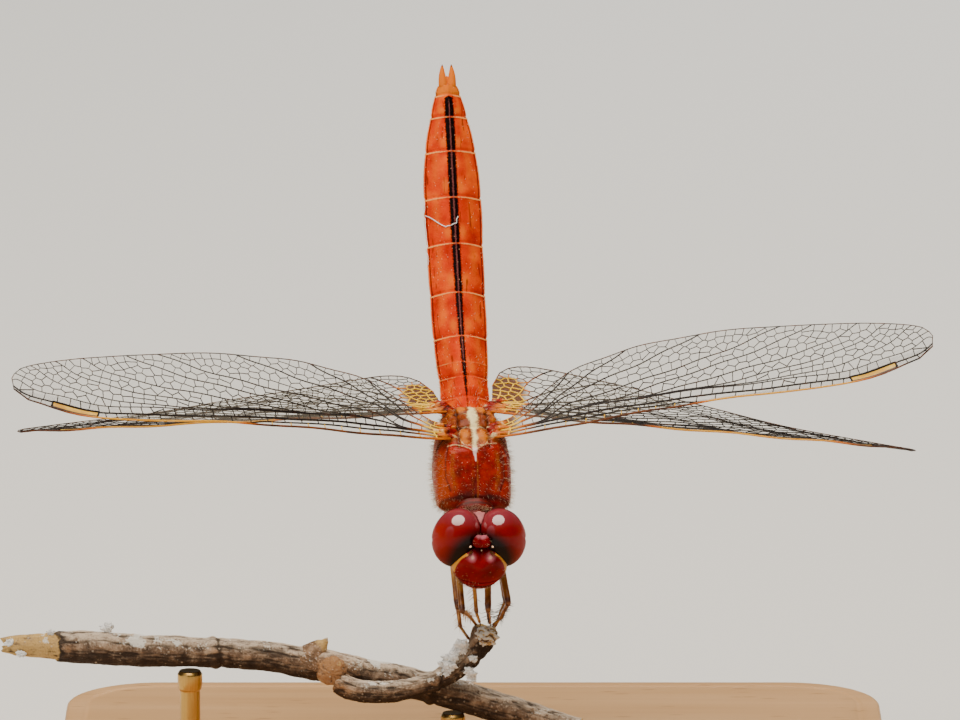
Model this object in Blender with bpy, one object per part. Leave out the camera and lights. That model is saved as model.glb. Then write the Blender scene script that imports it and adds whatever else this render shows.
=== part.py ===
"""A scarlet dragonfly, life size, perched head down with its tail raised on a twig over a display stand.

Sizes are in millimetres and angles in degrees, and place() turns them into metres. The insect is modelled
in a body frame: +X is its left, -Y its head end, +Z its back. POSE then stands that frame on the perch.
"""

import math
import random

import bmesh
import bpy
from mathutils import Euler, Matrix, Vector

MM = 0.001
GAP = 0.06  # clearance between solids that meet

# The insect's stance: where the middle of its thorax stands, and how far it is tipped, leaned and turned.
THORAX_PLACE = Vector((-0.15, 0.2, 26.9))
TIP_DOWN, LEAN, TURN = 30.0, 0.0, 5.0

# Thorax, as sections from the collar to the waist: (distance back, top, underside, half width).
THORAX_SECTIONS = (
    (-3.8, -0.75, -1.35, 0.9),
    (-3.62, -0.3, -2.0, 2.4),
    (-3.1, 0.5, -2.7, 2.77),
    (-2.3, 1.45, -3.25, 2.87),
    (-1.4, 2.25, -3.55, 2.93),
    (-0.4, 2.65, -3.65, 2.93),
    (0.8, 2.8, -3.4, 2.83),
    (2.0, 2.75, -2.8, 2.6),
    (3.0, 2.45, -2.0, 2.3),
    (3.7, 1.95, -1.25, 1.95),
    (3.95, 1.6, -0.85, 1.7),
)
THORAX_SQUARENESS = 0.82
THORAX_SIDES = 20

COLLAR_FRONT, COLLAR_BACK, COLLAR_HEIGHT = -4.45, -3.86, -1.05
COLLAR_HALF_WIDTH, COLLAR_HALF_DEPTH = 1.35, 0.8

# Head. Its own frame is turned as the body's, with its origin midway between the eyes.
HEAD_PLACE = Vector((0.2, -6.35, -2.05))
HEAD_ROLL = 1.5
EYE_CENTRE = Vector((1.62, 0.0, 0.1))
EYE_RADII = Vector((1.86, 1.95, 2.35))
EYE_SPLAY = 10.0
SKULL_RADII = Vector((2.75, 1.45, 2.2))
SKULL_CENTRE = Vector((0.0, 0.4, -0.25))
SKULL_FRONT = -0.2
VERTEX_CENTRE = Vector((0.0, -1.7, 0.75))
VERTEX_RADII = Vector((0.62, 0.55, 0.55))
FACE_CENTRE = Vector((0.0, -1.5, -1.6))
FACE_RADII = Vector((1.9, 1.35, 1.62))
FROWN_HEIGHT, LIP_HEIGHT, CHIN_HEIGHT = -1.85, -2.45, -2.95  # where the face is parted
ANTENNA_ROOT = Vector((0.72, -1.95, 0.35))
ANTENNA_TIP = Vector((1.35, -3.5, 1.15))
ANTENNA_RADII = (0.27, 0.25, 0.25)

# Abdomen: each segment's length, then the half width, rise and depth at every ring from waist to tail.
SEGMENT_LENGTHS = (1.1, 2.05, 3.75, 3.7, 3.95, 3.65, 3.3, 2.55, 1.65, 0.85)
RING_HALF_WIDTHS = (1.72, 1.80, 1.74, 1.87, 1.96, 2.00, 2.03, 1.82, 1.42, 1.02, 0.76)
RING_RISES = (1.25, 1.45, 1.50, 1.38, 1.30, 1.25, 1.20, 1.10, 0.92, 0.72, 0.55)
RING_DEPTHS = (1.25, 1.50, 1.35, 1.05, 0.92, 0.87, 0.85, 0.80, 0.68, 0.50, 0.36)
ABDOMEN_START = Vector((0.0, 4.08, 0.35))
WAIST_SLOPE, TAIL_SLOPE, SLOPE_REACH = 4.0, 41.0, 10.0
ABDOMEN_SIDES = 16
CERCUS_LENGTH, CERCUS_RADIUS, CERCUS_TIP_RADIUS = 1.6, 0.29, 0.1
VEER = 0.6  # how far the abdomen points to the insect's right, in degrees

# Wings: outline stations as (share of the span, leading edge, trailing edge), about the hinge line.
WING_THICKNESS = 0.5
FORE_SPAN, HIND_SPAN = 33.4, 32.2
FORE_OUTLINE = (
    (0.0, -0.75, 0.85),
    (0.03, -0.9, 1.0),
    (0.08, -1.0, 2.35),
    (0.16, -1.05, 4.8),
    (0.3, -1.05, 6.2),
    (0.48, -1.05, 6.45),
    (0.65, -1.35, 5.7),
    (0.8, -1.55, 4.6),
    (0.9, -1.4, 3.4),
    (0.96, -0.8, 2.2),
    (0.99, 0.0, 1.3),
    (1.0, 0.45, 0.9),
)
HIND_OUTLINE = (
    (0.0, -0.6, 4.4),
    (0.02, -0.7, 7.2),
    (0.05, -0.8, 8.9),
    (0.1, -1.0, 9.7),
    (0.2, -1.3, 9.6),
    (0.35, -1.5, 8.7),
    (0.5, -1.6, 7.7),
    (0.65, -1.85, 6.5),
    (0.8, -1.95, 4.9),
    (0.9, -1.65, 3.4),
    (0.96, -0.9, 2.1),
    (0.99, 0.0, 1.15),
    (1.0, 0.4, 0.8),
)
# Each wing: hinge, then sweep, raise and pitch at root and tip, in degrees, and how far the tip droops.
WINGS = {
    "wing_fore_left": ("fore", 1, (1.75, 0.5, 2.5), 8.3, 20.3, 0.0, 0.0, 0.6),
    "wing_fore_right": ("fore", -1, (1.75, 0.4, 2.5), 6.6, 14.6, 0.0, 0.0, 0.6),
    "wing_hind_left": ("hind", 1, (1.75, 3.6, 1.8), 20.5, 10.9, -22.0, -42.0, 0.8),
    "wing_hind_right": ("hind", -1, (1.75, 3.6, 1.8), 9.0, 7.1, -27.0, -39.0, 0.8),
}
WING_STATIONS = 26
WING_CHORD_STEPS = 3

# Legs: the hip in the body frame, then knee, ankle and toe in the stand's frame.
LEGS = {
    "fore_left": ((1.0, -2.3, -3.2), (1.11, -3.97, 16.5), (1.18, -1.8, 15.3), (1.25, -1.05, 14.8)),
    "middle_left": ((1.35, -1.1, -3.5), (2.61, -2.98, 16.76), (2.05, -0.8, 15.2), (1.65, -0.37, 14.8)),
    "hind_left": ((1.4, 0.1, -3.6), (2.44, 0.0, 16.2), (2.0, 1.2, 14.6), (1.5, 1.0, 13.7)),
    "fore_right": ((-0.8, -2.3, -3.2), (0.0, -2.4, 19.0), (0.25, -1.5, 15.7), (0.5, -1.05, 14.85)),
    "middle_right": ((-1.15, -1.1, -3.5), (-0.8, -3.95, 16.4), (-0.2, -1.2, 15.4), (0.0, -0.4, 14.9)),
    "hind_right": ((-1.5, 0.1, -3.6), (-1.15, -2.5, 16.4), (-0.95, -0.5, 14.4), (-0.5, -0.4, 13.45)),
}
COXA_LENGTH, COXA_RADIUS, COXA_DEPTH = 1.0, 0.42, 0.9
FEMUR_RADII, TIBIA_RADII, TARSUS_RADII = (0.36, 0.3), (0.28, 0.25), (0.25, 0.25)
LEG_BEVEL_RESOLUTION = 2

# Perch: each twig is (place, radius) from end to end.
MAIN_TWIG = (
    ((-34.7, -1.2, 13.15), 0.75),
    ((-33.75, -1.2, 13.15), 0.95),
    ((-31.7, -1.2, 13.1), 1.1),
    ((-29.1, -1.2, 13.0), 1.22),
    ((-25.2, -1.25, 12.8), 1.22),
    ((-20.3, -1.3, 12.65), 1.15),
    ((-15.8, -1.35, 12.4), 1.12),
    ((-12.9, -1.25, 11.9), 1.2),
    ((-9.85, -0.9, 11.3), 1.2),
    ((-7.3, -0.3, 10.6), 1.18),
    ((-4.7, 0.35, 9.9), 1.18),
    ((-1.4, 0.7, 8.95), 1.18),
    ((3.5, 0.9, 7.35), 1.15),
    ((7.9, 1.0, 5.95), 1.1),
)
SIDE_TWIG = (
    ((-10.0, -2.0, 10.5), 0.8),
    ((-9.1, -2.4, 10.15), 0.88),
    ((-7.6, -2.6, 9.95), 0.88),
    ((-5.8, -2.3, 9.9), 0.82),
    ((-3.9, -1.75, 10.2), 0.78),
    ((-2.2, -1.25, 10.7), 0.76),
    ((-1.1, -0.9, 11.3), 0.76),
    ((-0.35, -0.65, 11.95), 0.78),
    ((0.3, -0.5, 12.65), 0.82),
    ((0.75, -0.4, 13.45), 0.9),
    ((0.95, -0.3, 14.4), 0.93),
)
KNOT_CENTRE, KNOT_RADII = Vector((-10.45, -1.9, 11.35)), Vector((1.15, 0.95, 1.1))
BARK_SIDES, BARK_WOBBLE, BARK_SEED = 10, 0.05, 7

# Display stand.
BASE_WIDTH, BASE_DEPTH, BASE_THICKNESS, BASE_CORNER, BASE_CHAMFER = 62.0, 54.0, 3.5, 7.0, 0.6
ROD_RADIUS, ROD_SIDES = 0.75, 16
ROD_PLACES = {"stand_rod_left": (-21.0, -1.3), "stand_rod_right": (-1.5, 0.7)}

COLOURS = {
    "abdomen_red": ((0.74, 0.13, 0.02), 0.38),
    "thorax_red": ((0.42, 0.05, 0.02), 0.5),
    "head_red": ((0.3, 0.01, 0.01), 0.3),
    "eye_red": ((0.3, 0.015, 0.015), 0.15),
    "wing_membrane": ((0.72, 0.68, 0.58), 0.2),
    "leg_brown": ((0.2, 0.08, 0.03), 0.45),
    "bark": ((0.3, 0.22, 0.17), 0.85),
    "beech": ((0.72, 0.55, 0.38), 0.5),
    "brass": ((0.78, 0.6, 0.3), 0.3),
}
METALS = {"brass"}

POSE = Matrix.Translation(THORAX_PLACE) @ Euler(
    [math.radians(angle) for angle in (TIP_DOWN, LEAN, TURN)]
).to_matrix().to_4x4()


def clear_scene():
    for obj in list(bpy.data.objects):
        bpy.data.objects.remove(obj)


def material(name):
    """The named Principled material, made on first use."""
    found = bpy.data.materials.get(name)
    if found:
        return found
    made = bpy.data.materials.new(name)
    made.use_nodes = True
    colour, roughness = COLOURS[name]
    shader = made.node_tree.nodes["Principled BSDF"]
    shader.inputs["Base Color"].default_value = (*colour, 1.0)
    shader.inputs["Roughness"].default_value = roughness
    shader.inputs["Metallic"].default_value = 1.0 if name in METALS else 0.0
    return made


def add_empty(name, matrix):
    """An empty whose matrix is in millimetres, which pieces are parented to."""
    empty = bpy.data.objects.new(name, None)
    bpy.context.scene.collection.objects.link(empty)
    scaled = matrix.copy()
    scaled.translation = matrix.translation * MM
    empty.matrix_world = scaled
    return empty


def place(name, bm, colour, parent=None):
    """Links a bmesh modelled in millimetres as an object in metres, in its parent's frame."""
    bmesh.ops.scale(bm, vec=(MM, MM, MM), verts=bm.verts)
    bmesh.ops.recalc_face_normals(bm, faces=bm.faces)
    mesh = bpy.data.meshes.new(name)
    bm.to_mesh(mesh)
    bm.free()
    mesh.shade_smooth()
    mesh.set_sharp_from_angle(angle=math.radians(40))
    mesh.materials.append(material(colour))
    obj = bpy.data.objects.new(name, mesh)
    bpy.context.scene.collection.objects.link(obj)
    obj.parent = parent
    return obj


def as_cutter(obj):
    obj.hide_render = True
    obj.display_type = "WIRE"
    return obj


def boolean(obj, other, operation):
    modifier = obj.modifiers.new(f"{operation.lower()} {other.name}", "BOOLEAN")
    modifier.operation = operation
    modifier.object = other


def lofted(rings):
    """A bmesh skinned over rings of points that all run the same way round, with flat ends."""
    bm = bmesh.new()
    loops = [[bm.verts.new(point) for point in ring] for ring in rings]
    for near, far in zip(loops, loops[1:]):
        for i in range(len(near)):
            bm.faces.new((near[i - 1], near[i], far[i], far[i - 1]))
    bm.faces.new(reversed(loops[0]))
    bm.faces.new(loops[-1])
    return bm


def ellipsoid(centre, radii, segments=16, rings=10, turn=0.0):
    """A bmesh ellipsoid, leaned by turn degrees about the fore-and-aft axis."""
    bm = bmesh.new()
    bmesh.ops.create_uvsphere(bm, u_segments=segments, v_segments=rings, radius=1.0)
    matrix = Matrix.Translation(centre) @ Matrix.Rotation(math.radians(turn), 4, "Y")
    bmesh.ops.transform(bm, matrix=matrix @ Matrix.Diagonal((*radii, 1.0)), verts=bm.verts)
    return bm


def keep_side(bm, point, normal):
    """Cuts off what lies beyond the plane, on the side that the normal points to, and caps the cut."""
    geometry = bm.verts[:] + bm.edges[:] + bm.faces[:]
    cut = bmesh.ops.bisect_plane(
        bm, geom=geometry, dist=1e-5, plane_co=point, plane_no=normal, clear_outer=True
    )
    edges = [item for item in cut["geom_cut"] if isinstance(item, bmesh.types.BMEdge)]
    bmesh.ops.holes_fill(bm, edges=edges, sides=0)


def swept(path, radii, sides, wobble=0.0, seed=0):
    """A bmesh tube along a path of points, with a radius at each and an uneven skin where wobble is set."""
    points = [Vector(point) for point in path]
    chance = random.Random(seed)
    side = (points[1] - points[0]).orthogonal().normalized()
    rings = []
    for i, point in enumerate(points):
        along = (points[min(i + 1, len(points) - 1)] - points[max(i - 1, 0)]).normalized()
        side = (side - along * side.dot(along)).normalized()
        across = along.cross(side)
        ring = []
        for k in range(sides):
            angle = 2 * math.pi * k / sides
            radius = radii[i] * (1 + wobble * chance.uniform(-1, 1))
            ring.append(point + (side * math.cos(angle) + across * math.sin(angle)) * radius)
        rings.append(ring)
    return lofted(rings)


def smooth_path(stations, steps):
    """Points and radii on a Catmull-Rom curve through (place, radius) stations."""
    rows = [Vector((*point, radius)) for point, radius in stations]
    found = []
    for i in range(len(rows) - 1):
        before, start, end = rows[max(i - 1, 0)], rows[i], rows[i + 1]
        after = rows[min(i + 2, len(rows) - 1)]
        for k in range(steps):
            found.append(catmull_rom(before, start, end, after, k / steps))
    found.append(rows[-1])
    return [row.xyz for row in found], [row.w for row in found]


def catmull_rom(before, start, end, after, t):
    return 0.5 * (
        2 * start
        + (end - before) * t
        + (2 * before - 5 * start + 4 * end - after) * t**2
        + (3 * start - 3 * end + before * -1 + after) * t**3
    )


def signed_power(value, power):
    return math.copysign(abs(value) ** power, value)


def build_thorax(body):
    rings = []
    for back, top, underside, half_width in THORAX_SECTIONS:
        middle, half_height = (top + underside) / 2, (top - underside) / 2
        ring = []
        for k in range(THORAX_SIDES):
            angle = 2 * math.pi * k / THORAX_SIDES
            x = half_width * signed_power(math.cos(angle), THORAX_SQUARENESS)
            z = middle + half_height * signed_power(math.sin(angle), THORAX_SQUARENESS)
            ring.append((x, back, z))
        rings.append(ring)
    thorax = place("thorax", lofted(rings), "thorax_red", body)
    collar_radii = (COLLAR_HALF_WIDTH, (COLLAR_BACK - COLLAR_FRONT) * 0.9, COLLAR_HALF_DEPTH)
    collar = ellipsoid((0, (COLLAR_FRONT + COLLAR_BACK) / 2, COLLAR_HEIGHT), collar_radii, 14, 8)
    keep_side(collar, (0, COLLAR_BACK, 0), (0, 1, 0))
    keep_side(collar, (0, COLLAR_FRONT, 0), (0, -1, 0))
    place("prothorax", collar, "thorax_red", body)
    return thorax


def build_head(body):
    frame = POSE @ Matrix.Translation(HEAD_PLACE) @ Matrix.Rotation(math.radians(HEAD_ROLL), 4, "Y")
    head = add_empty("head_frame", frame)
    cutters = []
    for side, x_sign in (("left", 1), ("right", -1)):
        centre = Vector((EYE_CENTRE.x * x_sign, EYE_CENTRE.y, EYE_CENTRE.z))
        splay = -EYE_SPLAY * x_sign
        eye = ellipsoid(centre, EYE_RADII, 20, 14, splay)
        keep_side(eye, (x_sign * GAP / 2, 0, 0), (-x_sign, 0, 0))
        place(f"eye_{side}", eye, "eye_red", head)
        grown = ellipsoid(centre, EYE_RADII + Vector((GAP, GAP, GAP)), 20, 14, splay)
        cutters.append(as_cutter(place(f"eye_socket_{side}", grown, "eye_red", head)))
    skull = ellipsoid(SKULL_CENTRE, SKULL_RADII, 20, 12)
    keep_side(skull, (0, SKULL_FRONT, 0), (0, -1, 0))
    skull = place("head", skull, "head_red", head)
    vertex = place("vertex", ellipsoid(VERTEX_CENTRE, VERTEX_RADII, 14, 10), "head_red", head)
    face_hollow = ellipsoid(FACE_CENTRE, FACE_RADII + Vector((GAP, GAP, GAP)), 20, 14)
    face_cutter = as_cutter(place("face_hollow", face_hollow, "head_red", head))
    for piece in (skull, vertex):
        boolean(piece, face_cutter, "DIFFERENCE")
        for cutter in cutters:
            boolean(piece, cutter, "DIFFERENCE")
    bands = (
        ("frons", None, FROWN_HEIGHT),
        ("clypeus", FROWN_HEIGHT, LIP_HEIGHT),
        ("labrum", LIP_HEIGHT, CHIN_HEIGHT),
        ("labium", CHIN_HEIGHT, None),
    )
    for name, top, bottom in bands:
        band = ellipsoid(FACE_CENTRE, FACE_RADII, 20, 14)
        if top is not None:
            keep_side(band, (0, 0, top - GAP / 2), (0, 0, 1))
        if bottom is not None:
            keep_side(band, (0, 0, bottom + GAP / 2), (0, 0, -1))
        piece = place(name, band, "head_red", head)
        for cutter in cutters:
            boolean(piece, cutter, "DIFFERENCE")
    for side, x_sign in (("left", 1), ("right", -1)):
        root, tip = (Vector((p.x * x_sign, p.y, p.z)) for p in (ANTENNA_ROOT, ANTENNA_TIP))
        path = [root, root.lerp(tip, 0.5), tip]
        place(f"antenna_{side}", swept(path, ANTENNA_RADII, 6), "leg_brown", head)


def abdomen_point(distance):
    """The place on the abdomen's centreline that far from the waist, and its slope there in degrees."""
    point, steps = ABDOMEN_START.copy(), 60
    for k in range(steps):
        slope = math.radians(abdomen_slope(distance * (k + 0.5) / steps))
        point += Vector((-math.tan(math.radians(VEER)), math.cos(slope), math.sin(slope))) * distance / steps
    return point, abdomen_slope(distance)


def abdomen_slope(distance):
    return WAIST_SLOPE + (TAIL_SLOPE - WAIST_SLOPE) * (1 - math.exp(-distance / SLOPE_REACH))


def abdomen_ring(distance, half_width, rise, depth):
    """A section square to the centreline: a roof above, a shallower keel below, sharp at the sides."""
    point, slope = abdomen_point(distance)
    up = Vector((0, -math.sin(math.radians(slope)), math.cos(math.radians(slope))))
    ring = []
    for k in range(ABDOMEN_SIDES):
        angle = 2 * math.pi * k / ABDOMEN_SIDES
        across, share = math.cos(angle), math.sin(angle)
        height = rise * (1 - abs(across) ** 1.9) if share >= 0 else -depth * (1 - abs(across) ** 2.4)
        ring.append(point + Vector((half_width * across, 0, 0)) + up * height)
    return ring


def between(values, index, share):
    return values[index] + (values[index + 1] - values[index]) * share


def build_abdomen(body):
    start = 0.0
    for i, length in enumerate(SEGMENT_LENGTHS):
        rings = []
        for share in (GAP / 2 / length, 0.3, 0.7, 1 - GAP / 2 / length):
            sizes = [between(v, i, share) for v in (RING_HALF_WIDTHS, RING_RISES, RING_DEPTHS)]
            rings.append(abdomen_ring(start + length * share, *sizes))
        place(f"abdomen_{i + 1:02d}", lofted(rings), "abdomen_red", body)
        start += length
    point, slope = abdomen_point(start + GAP)
    along = Vector((0, math.cos(math.radians(slope)), math.sin(math.radians(slope))))
    for side, x_sign in (("left", 1), ("right", -1)):
        root = point + Vector((0.36 * x_sign, 0, 0)) + along * GAP
        path = [root, root + along * CERCUS_LENGTH * 0.6, root + along * CERCUS_LENGTH]
        path[2] = path[2] + Vector((-0.06 * x_sign, 0, 0))
        radii = (CERCUS_RADIUS, CERCUS_RADIUS * 0.9, CERCUS_TIP_RADIUS)
        place(f"cercus_{side}", swept(path, radii, 8), "abdomen_red", body)


def outline_at(outline, share):
    """The leading and trailing edge at a share of the span, on a Catmull-Rom curve through the stations."""
    rows = [Vector(row) for row in outline]
    i = max(k for k in range(len(rows) - 1) if rows[k].x <= share)
    t = (share - rows[i].x) / (rows[i + 1].x - rows[i].x)
    before, after = rows[max(i - 1, 0)], rows[min(i + 2, len(rows) - 1)]
    slopes = []
    for low, middle, high in ((before, rows[i], rows[i + 1]), (rows[i], rows[i + 1], after)):
        span = high.x - low.x
        slopes.append((high - low) / span if middle is not low and middle is not high else None)
    secant = (rows[i + 1] - rows[i]) / (rows[i + 1].x - rows[i].x)
    start_slope, end_slope = (slope if slope is not None else secant for slope in slopes)
    width = rows[i + 1].x - rows[i].x
    row = (
        rows[i] * (2 * t**3 - 3 * t**2 + 1)
        + start_slope * width * (t**3 - 2 * t**2 + t)
        + rows[i + 1] * (3 * t**2 - 2 * t**3)
        + end_slope * width * (t**3 - t**2)
    )
    return row.y, row.z


def wing_mesh(kind, pitch_root, pitch_tip, droop, x_sign, grow=0.0, reach=1.0):
    """A wing plate along +X from its hinge, with its edges on the outline and its pitch easing to the tip."""
    span, outline = (FORE_SPAN, FORE_OUTLINE) if kind == "fore" else (HIND_SPAN, HIND_OUTLINE)
    half = WING_THICKNESS / 2 + grow
    rings = []
    for k in range(WING_STATIONS + 1):
        share = reach * (1 - math.cos(math.pi * k / WING_STATIONS)) / 2
        leading, trailing = outline_at(outline, share)
        pitch = math.radians(pitch_root + (pitch_tip - pitch_root) * share)
        chord = Vector((0, math.cos(pitch), math.sin(pitch)))
        up = Vector((0, -math.sin(pitch), math.cos(pitch)))
        middle = Vector((span * share - grow, 0, -droop * share**2))
        edge = [
            leading - grow + (trailing - leading + 2 * grow) * c / WING_CHORD_STEPS
            for c in range(WING_CHORD_STEPS + 1)
        ]
        ring = [middle + chord * y + up * half for y in edge]
        ring += [middle + chord * y - up * half for y in reversed(edge)]
        rings.append([Vector((p.x * x_sign, p.y, p.z)) for p in ring])
    return lofted(rings)


def build_wings(body, thorax):
    for name, (kind, x_sign, hinge, sweep, lift, pitch_root, pitch_tip, droop) in WINGS.items():
        turn = Euler((0, math.radians(-lift * x_sign), math.radians(-sweep * x_sign)))
        matrix = turn.to_matrix().to_4x4()
        matrix.translation = (hinge[0] * x_sign * MM, hinge[1] * MM, hinge[2] * MM)
        shape = (kind, pitch_root, pitch_tip, droop, x_sign)
        wing = place(name, wing_mesh(*shape), "wing_membrane", body)
        socket = as_cutter(place(f"{name}_socket", wing_mesh(*shape, GAP, 0.3), "thorax_red", body))
        wing.matrix_local = matrix
        socket.matrix_local = matrix
        boolean(thorax, socket, "DIFFERENCE")


def trimmed(start, end, trim_start, trim_end):
    along = (end - start).normalized()
    return [start + along * trim_start, end - along * trim_end]


def joint_trim(before, joint, after, radius):
    """How far two limbs that meet at a joint are cut back, so that their ends don't cross."""
    bend = (joint - before).angle(after - joint)
    return radius * math.tan(min(bend, math.radians(110)) / 2) + GAP / 2


def limb(name, points, radii):
    """A leg section: a bevelled curve with filled ends, as thick at each point as its radius."""
    curve = bpy.data.curves.new(name, "CURVE")
    curve.dimensions = "3D"
    curve.bevel_depth = MM
    curve.bevel_resolution = LEG_BEVEL_RESOLUTION
    curve.use_fill_caps = True
    spline = curve.splines.new("POLY")
    spline.points.add(len(points) - 1)
    for knot, point, radius in zip(spline.points, points, radii):
        knot.co = (*(Vector(point) * MM), 1.0)
        knot.radius = radius
    curve.materials.append(material("leg_brown"))
    obj = bpy.data.objects.new(name, curve)
    bpy.context.scene.collection.objects.link(obj)
    return obj


def build_legs(thorax):
    for side, joints in LEGS.items():
        hip, knee, ankle, toe = (Vector(joint) for joint in joints)
        hip = POSE @ hip
        along = (knee - hip).normalized()
        coxa_path = [hip - along * COXA_DEPTH, hip + along * COXA_LENGTH]
        coxa = as_cutter(place(f"coxa_{side}", swept(coxa_path, (COXA_RADIUS,) * 2, 8), "thorax_red"))
        boolean(thorax, coxa, "UNION")
        at_knee = joint_trim(hip, knee, ankle, FEMUR_RADII[1])
        at_ankle = joint_trim(knee, ankle, toe, TIBIA_RADII[1])
        limb(f"femur_{side}", trimmed(hip, knee, COXA_LENGTH + GAP, at_knee), FEMUR_RADII)
        limb(f"tibia_{side}", trimmed(knee, ankle, at_knee, at_ankle), TIBIA_RADII)
        limb(f"tarsus_{side}", trimmed(ankle, toe, at_ankle, 0.0), TARSUS_RADII)


def build_perch():
    path, radii = smooth_path(MAIN_TWIG, 2)
    main = place("perch_main_twig", swept(path, radii, BARK_SIDES, BARK_WOBBLE, BARK_SEED), "bark")
    knot = place("perch_knot", ellipsoid(KNOT_CENTRE, KNOT_RADII, 12, 8), "bark")
    grown = swept(path, [radius + GAP for radius in radii], BARK_SIDES, BARK_WOBBLE, BARK_SEED)
    main_cutter = as_cutter(place("main_twig_seat", grown, "bark"))
    path, radii = smooth_path(SIDE_TWIG, 2)
    side = place("perch_side_twig", swept(path, radii, BARK_SIDES, BARK_WOBBLE, BARK_SEED + 1), "bark")
    grown = ellipsoid(KNOT_CENTRE, KNOT_RADII + Vector((GAP, GAP, GAP)), 12, 8)
    knot_cutter = as_cutter(place("knot_seat", grown, "bark"))
    boolean(main, knot_cutter, "DIFFERENCE")
    boolean(side, main_cutter, "DIFFERENCE")
    boolean(side, knot_cutter, "DIFFERENCE")


def twig_height(x):
    """The height of the main twig's underside at a place along it, and its distance from the viewer."""
    for (start, start_radius), (end, end_radius) in zip(MAIN_TWIG, MAIN_TWIG[1:]):
        if start[0] <= x <= end[0]:
            share = (x - start[0]) / (end[0] - start[0])
            height = start[2] + (end[2] - start[2]) * share
            return height - start_radius - (end_radius - start_radius) * share
    raise ValueError(f"the main twig doesn't reach {x}")


def build_stand():
    bm = bmesh.new()
    corners = []
    for x_sign, y_sign, first in ((1, 1, 0), (-1, 1, 90), (-1, -1, 180), (1, -1, 270)):
        centre = Vector((x_sign * (BASE_WIDTH / 2 - BASE_CORNER), y_sign * (BASE_DEPTH / 2 - BASE_CORNER), 0))
        for k in range(7):
            angle = math.radians(first + 15 * k)
            corners.append(centre + Vector((math.cos(angle), math.sin(angle), 0)) * BASE_CORNER)
    face = bm.faces.new([bm.verts.new(corner) for corner in corners])
    top = bmesh.ops.extrude_face_region(bm, geom=[face])["geom"]
    bmesh.ops.translate(
        bm, vec=(0, 0, BASE_THICKNESS), verts=[v for v in top if isinstance(v, bmesh.types.BMVert)]
    )
    rim = [e for e in bm.edges if all(v.co.z > BASE_THICKNESS / 2 for v in e.verts)]
    bmesh.ops.bevel(bm, geom=rim, offset=BASE_CHAMFER, segments=2, profile=0.5, affect="EDGES")
    place("stand_base", bm, "beech")
    for name, (x, y) in ROD_PLACES.items():
        bottom, top = BASE_THICKNESS + GAP, twig_height(x) - 0.25
        rod = bmesh.new()
        bmesh.ops.create_cone(
            rod, cap_ends=True, segments=ROD_SIDES, radius1=ROD_RADIUS, radius2=ROD_RADIUS, depth=top - bottom
        )
        bmesh.ops.translate(rod, vec=(x, y, (top + bottom) / 2), verts=rod.verts)
        place(name, rod, "brass")


def main():
    clear_scene()
    body = add_empty("body_frame", POSE)
    thorax = build_thorax(body)
    build_head(body)
    build_abdomen(body)
    build_wings(body, thorax)
    build_legs(thorax)
    build_perch()
    build_stand()


main()
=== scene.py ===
"""The looks of a scarlet dragonfly on a twig: cuticle, eyes, veined wings, bristles, bark, stand and studio.

Sizes are in millimetres. The insect is modelled in its own body frame, where +X is its left, -Y its head
end and +Z its back, and Stance stands that frame on the perch. Meshes are written in metres.
"""

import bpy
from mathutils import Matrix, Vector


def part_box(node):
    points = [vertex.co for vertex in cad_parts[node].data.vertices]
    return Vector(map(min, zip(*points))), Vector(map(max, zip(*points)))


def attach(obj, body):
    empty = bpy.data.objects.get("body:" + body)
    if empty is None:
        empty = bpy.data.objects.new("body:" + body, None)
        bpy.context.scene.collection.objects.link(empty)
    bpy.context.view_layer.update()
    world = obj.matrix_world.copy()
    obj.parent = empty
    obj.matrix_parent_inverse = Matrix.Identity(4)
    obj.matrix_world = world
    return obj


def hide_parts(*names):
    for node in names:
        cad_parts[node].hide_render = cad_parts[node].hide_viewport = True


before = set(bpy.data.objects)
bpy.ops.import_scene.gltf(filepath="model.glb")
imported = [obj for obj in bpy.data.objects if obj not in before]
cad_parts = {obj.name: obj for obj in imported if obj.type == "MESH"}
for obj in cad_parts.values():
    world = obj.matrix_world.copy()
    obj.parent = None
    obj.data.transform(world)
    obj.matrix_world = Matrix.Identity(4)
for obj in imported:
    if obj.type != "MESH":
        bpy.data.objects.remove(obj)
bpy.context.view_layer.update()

import logging
import math
import random
from dataclasses import dataclass, field
from enum import Enum
from functools import cache
from typing import Callable, Iterable, Sequence

import bpy
import numpy as np
from mathutils import Euler, Matrix, Vector, noise

MM = 0.001
BODY = "root"
BAKE_MAP = "OFBake"
SHARP = 40.0  # degrees between two faces, above which their edge stays sharp
PRINCIPLED = "ShaderNodeBsdfPrincipled"
SIDES = (("left", 1), ("right", -1))
log = logging.getLogger("dragonfly")

Piece = bpy.types.Object
Tree = bpy.types.NodeTree
Socket = bpy.types.NodeSocket
Array = np.ndarray


# ---------------------------------------------------------------- places


def box_middle(node: str) -> Vector:
    """The middle of a solid's box, in millimetres."""
    low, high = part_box(node)
    return (low + high) / (2 * MM)


@dataclass(frozen=True)
class Stance:
    """How the insect stands over its perch, found from the thorax, and where its head sits."""

    thorax_offset: tuple[float, float, float] = (-0.045, -0.41, 0.69)
    tip_down: float = 30.0
    turn: float = 5.0
    head_place: tuple[float, float, float] = (0.2, -6.35, -2.05)
    head_roll: float = 1.5

    def body(self) -> Matrix:
        """The body frame in the stand's frame."""
        middle = box_middle("thorax") + Vector(self.thorax_offset)
        turned = Euler((math.radians(self.tip_down), 0.0, math.radians(self.turn)))
        return Matrix.Translation(middle) @ turned.to_matrix().to_4x4()

    def head(self) -> Matrix:
        """The head frame in the stand's frame, with its origin midway between the eyes."""
        rolled = Matrix.Rotation(math.radians(self.head_roll), 4, "Y")
        return self.body() @ Matrix.Translation(self.head_place) @ rolled


STANCE = Stance()
IDENTITY = Matrix.Identity(4)


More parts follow.
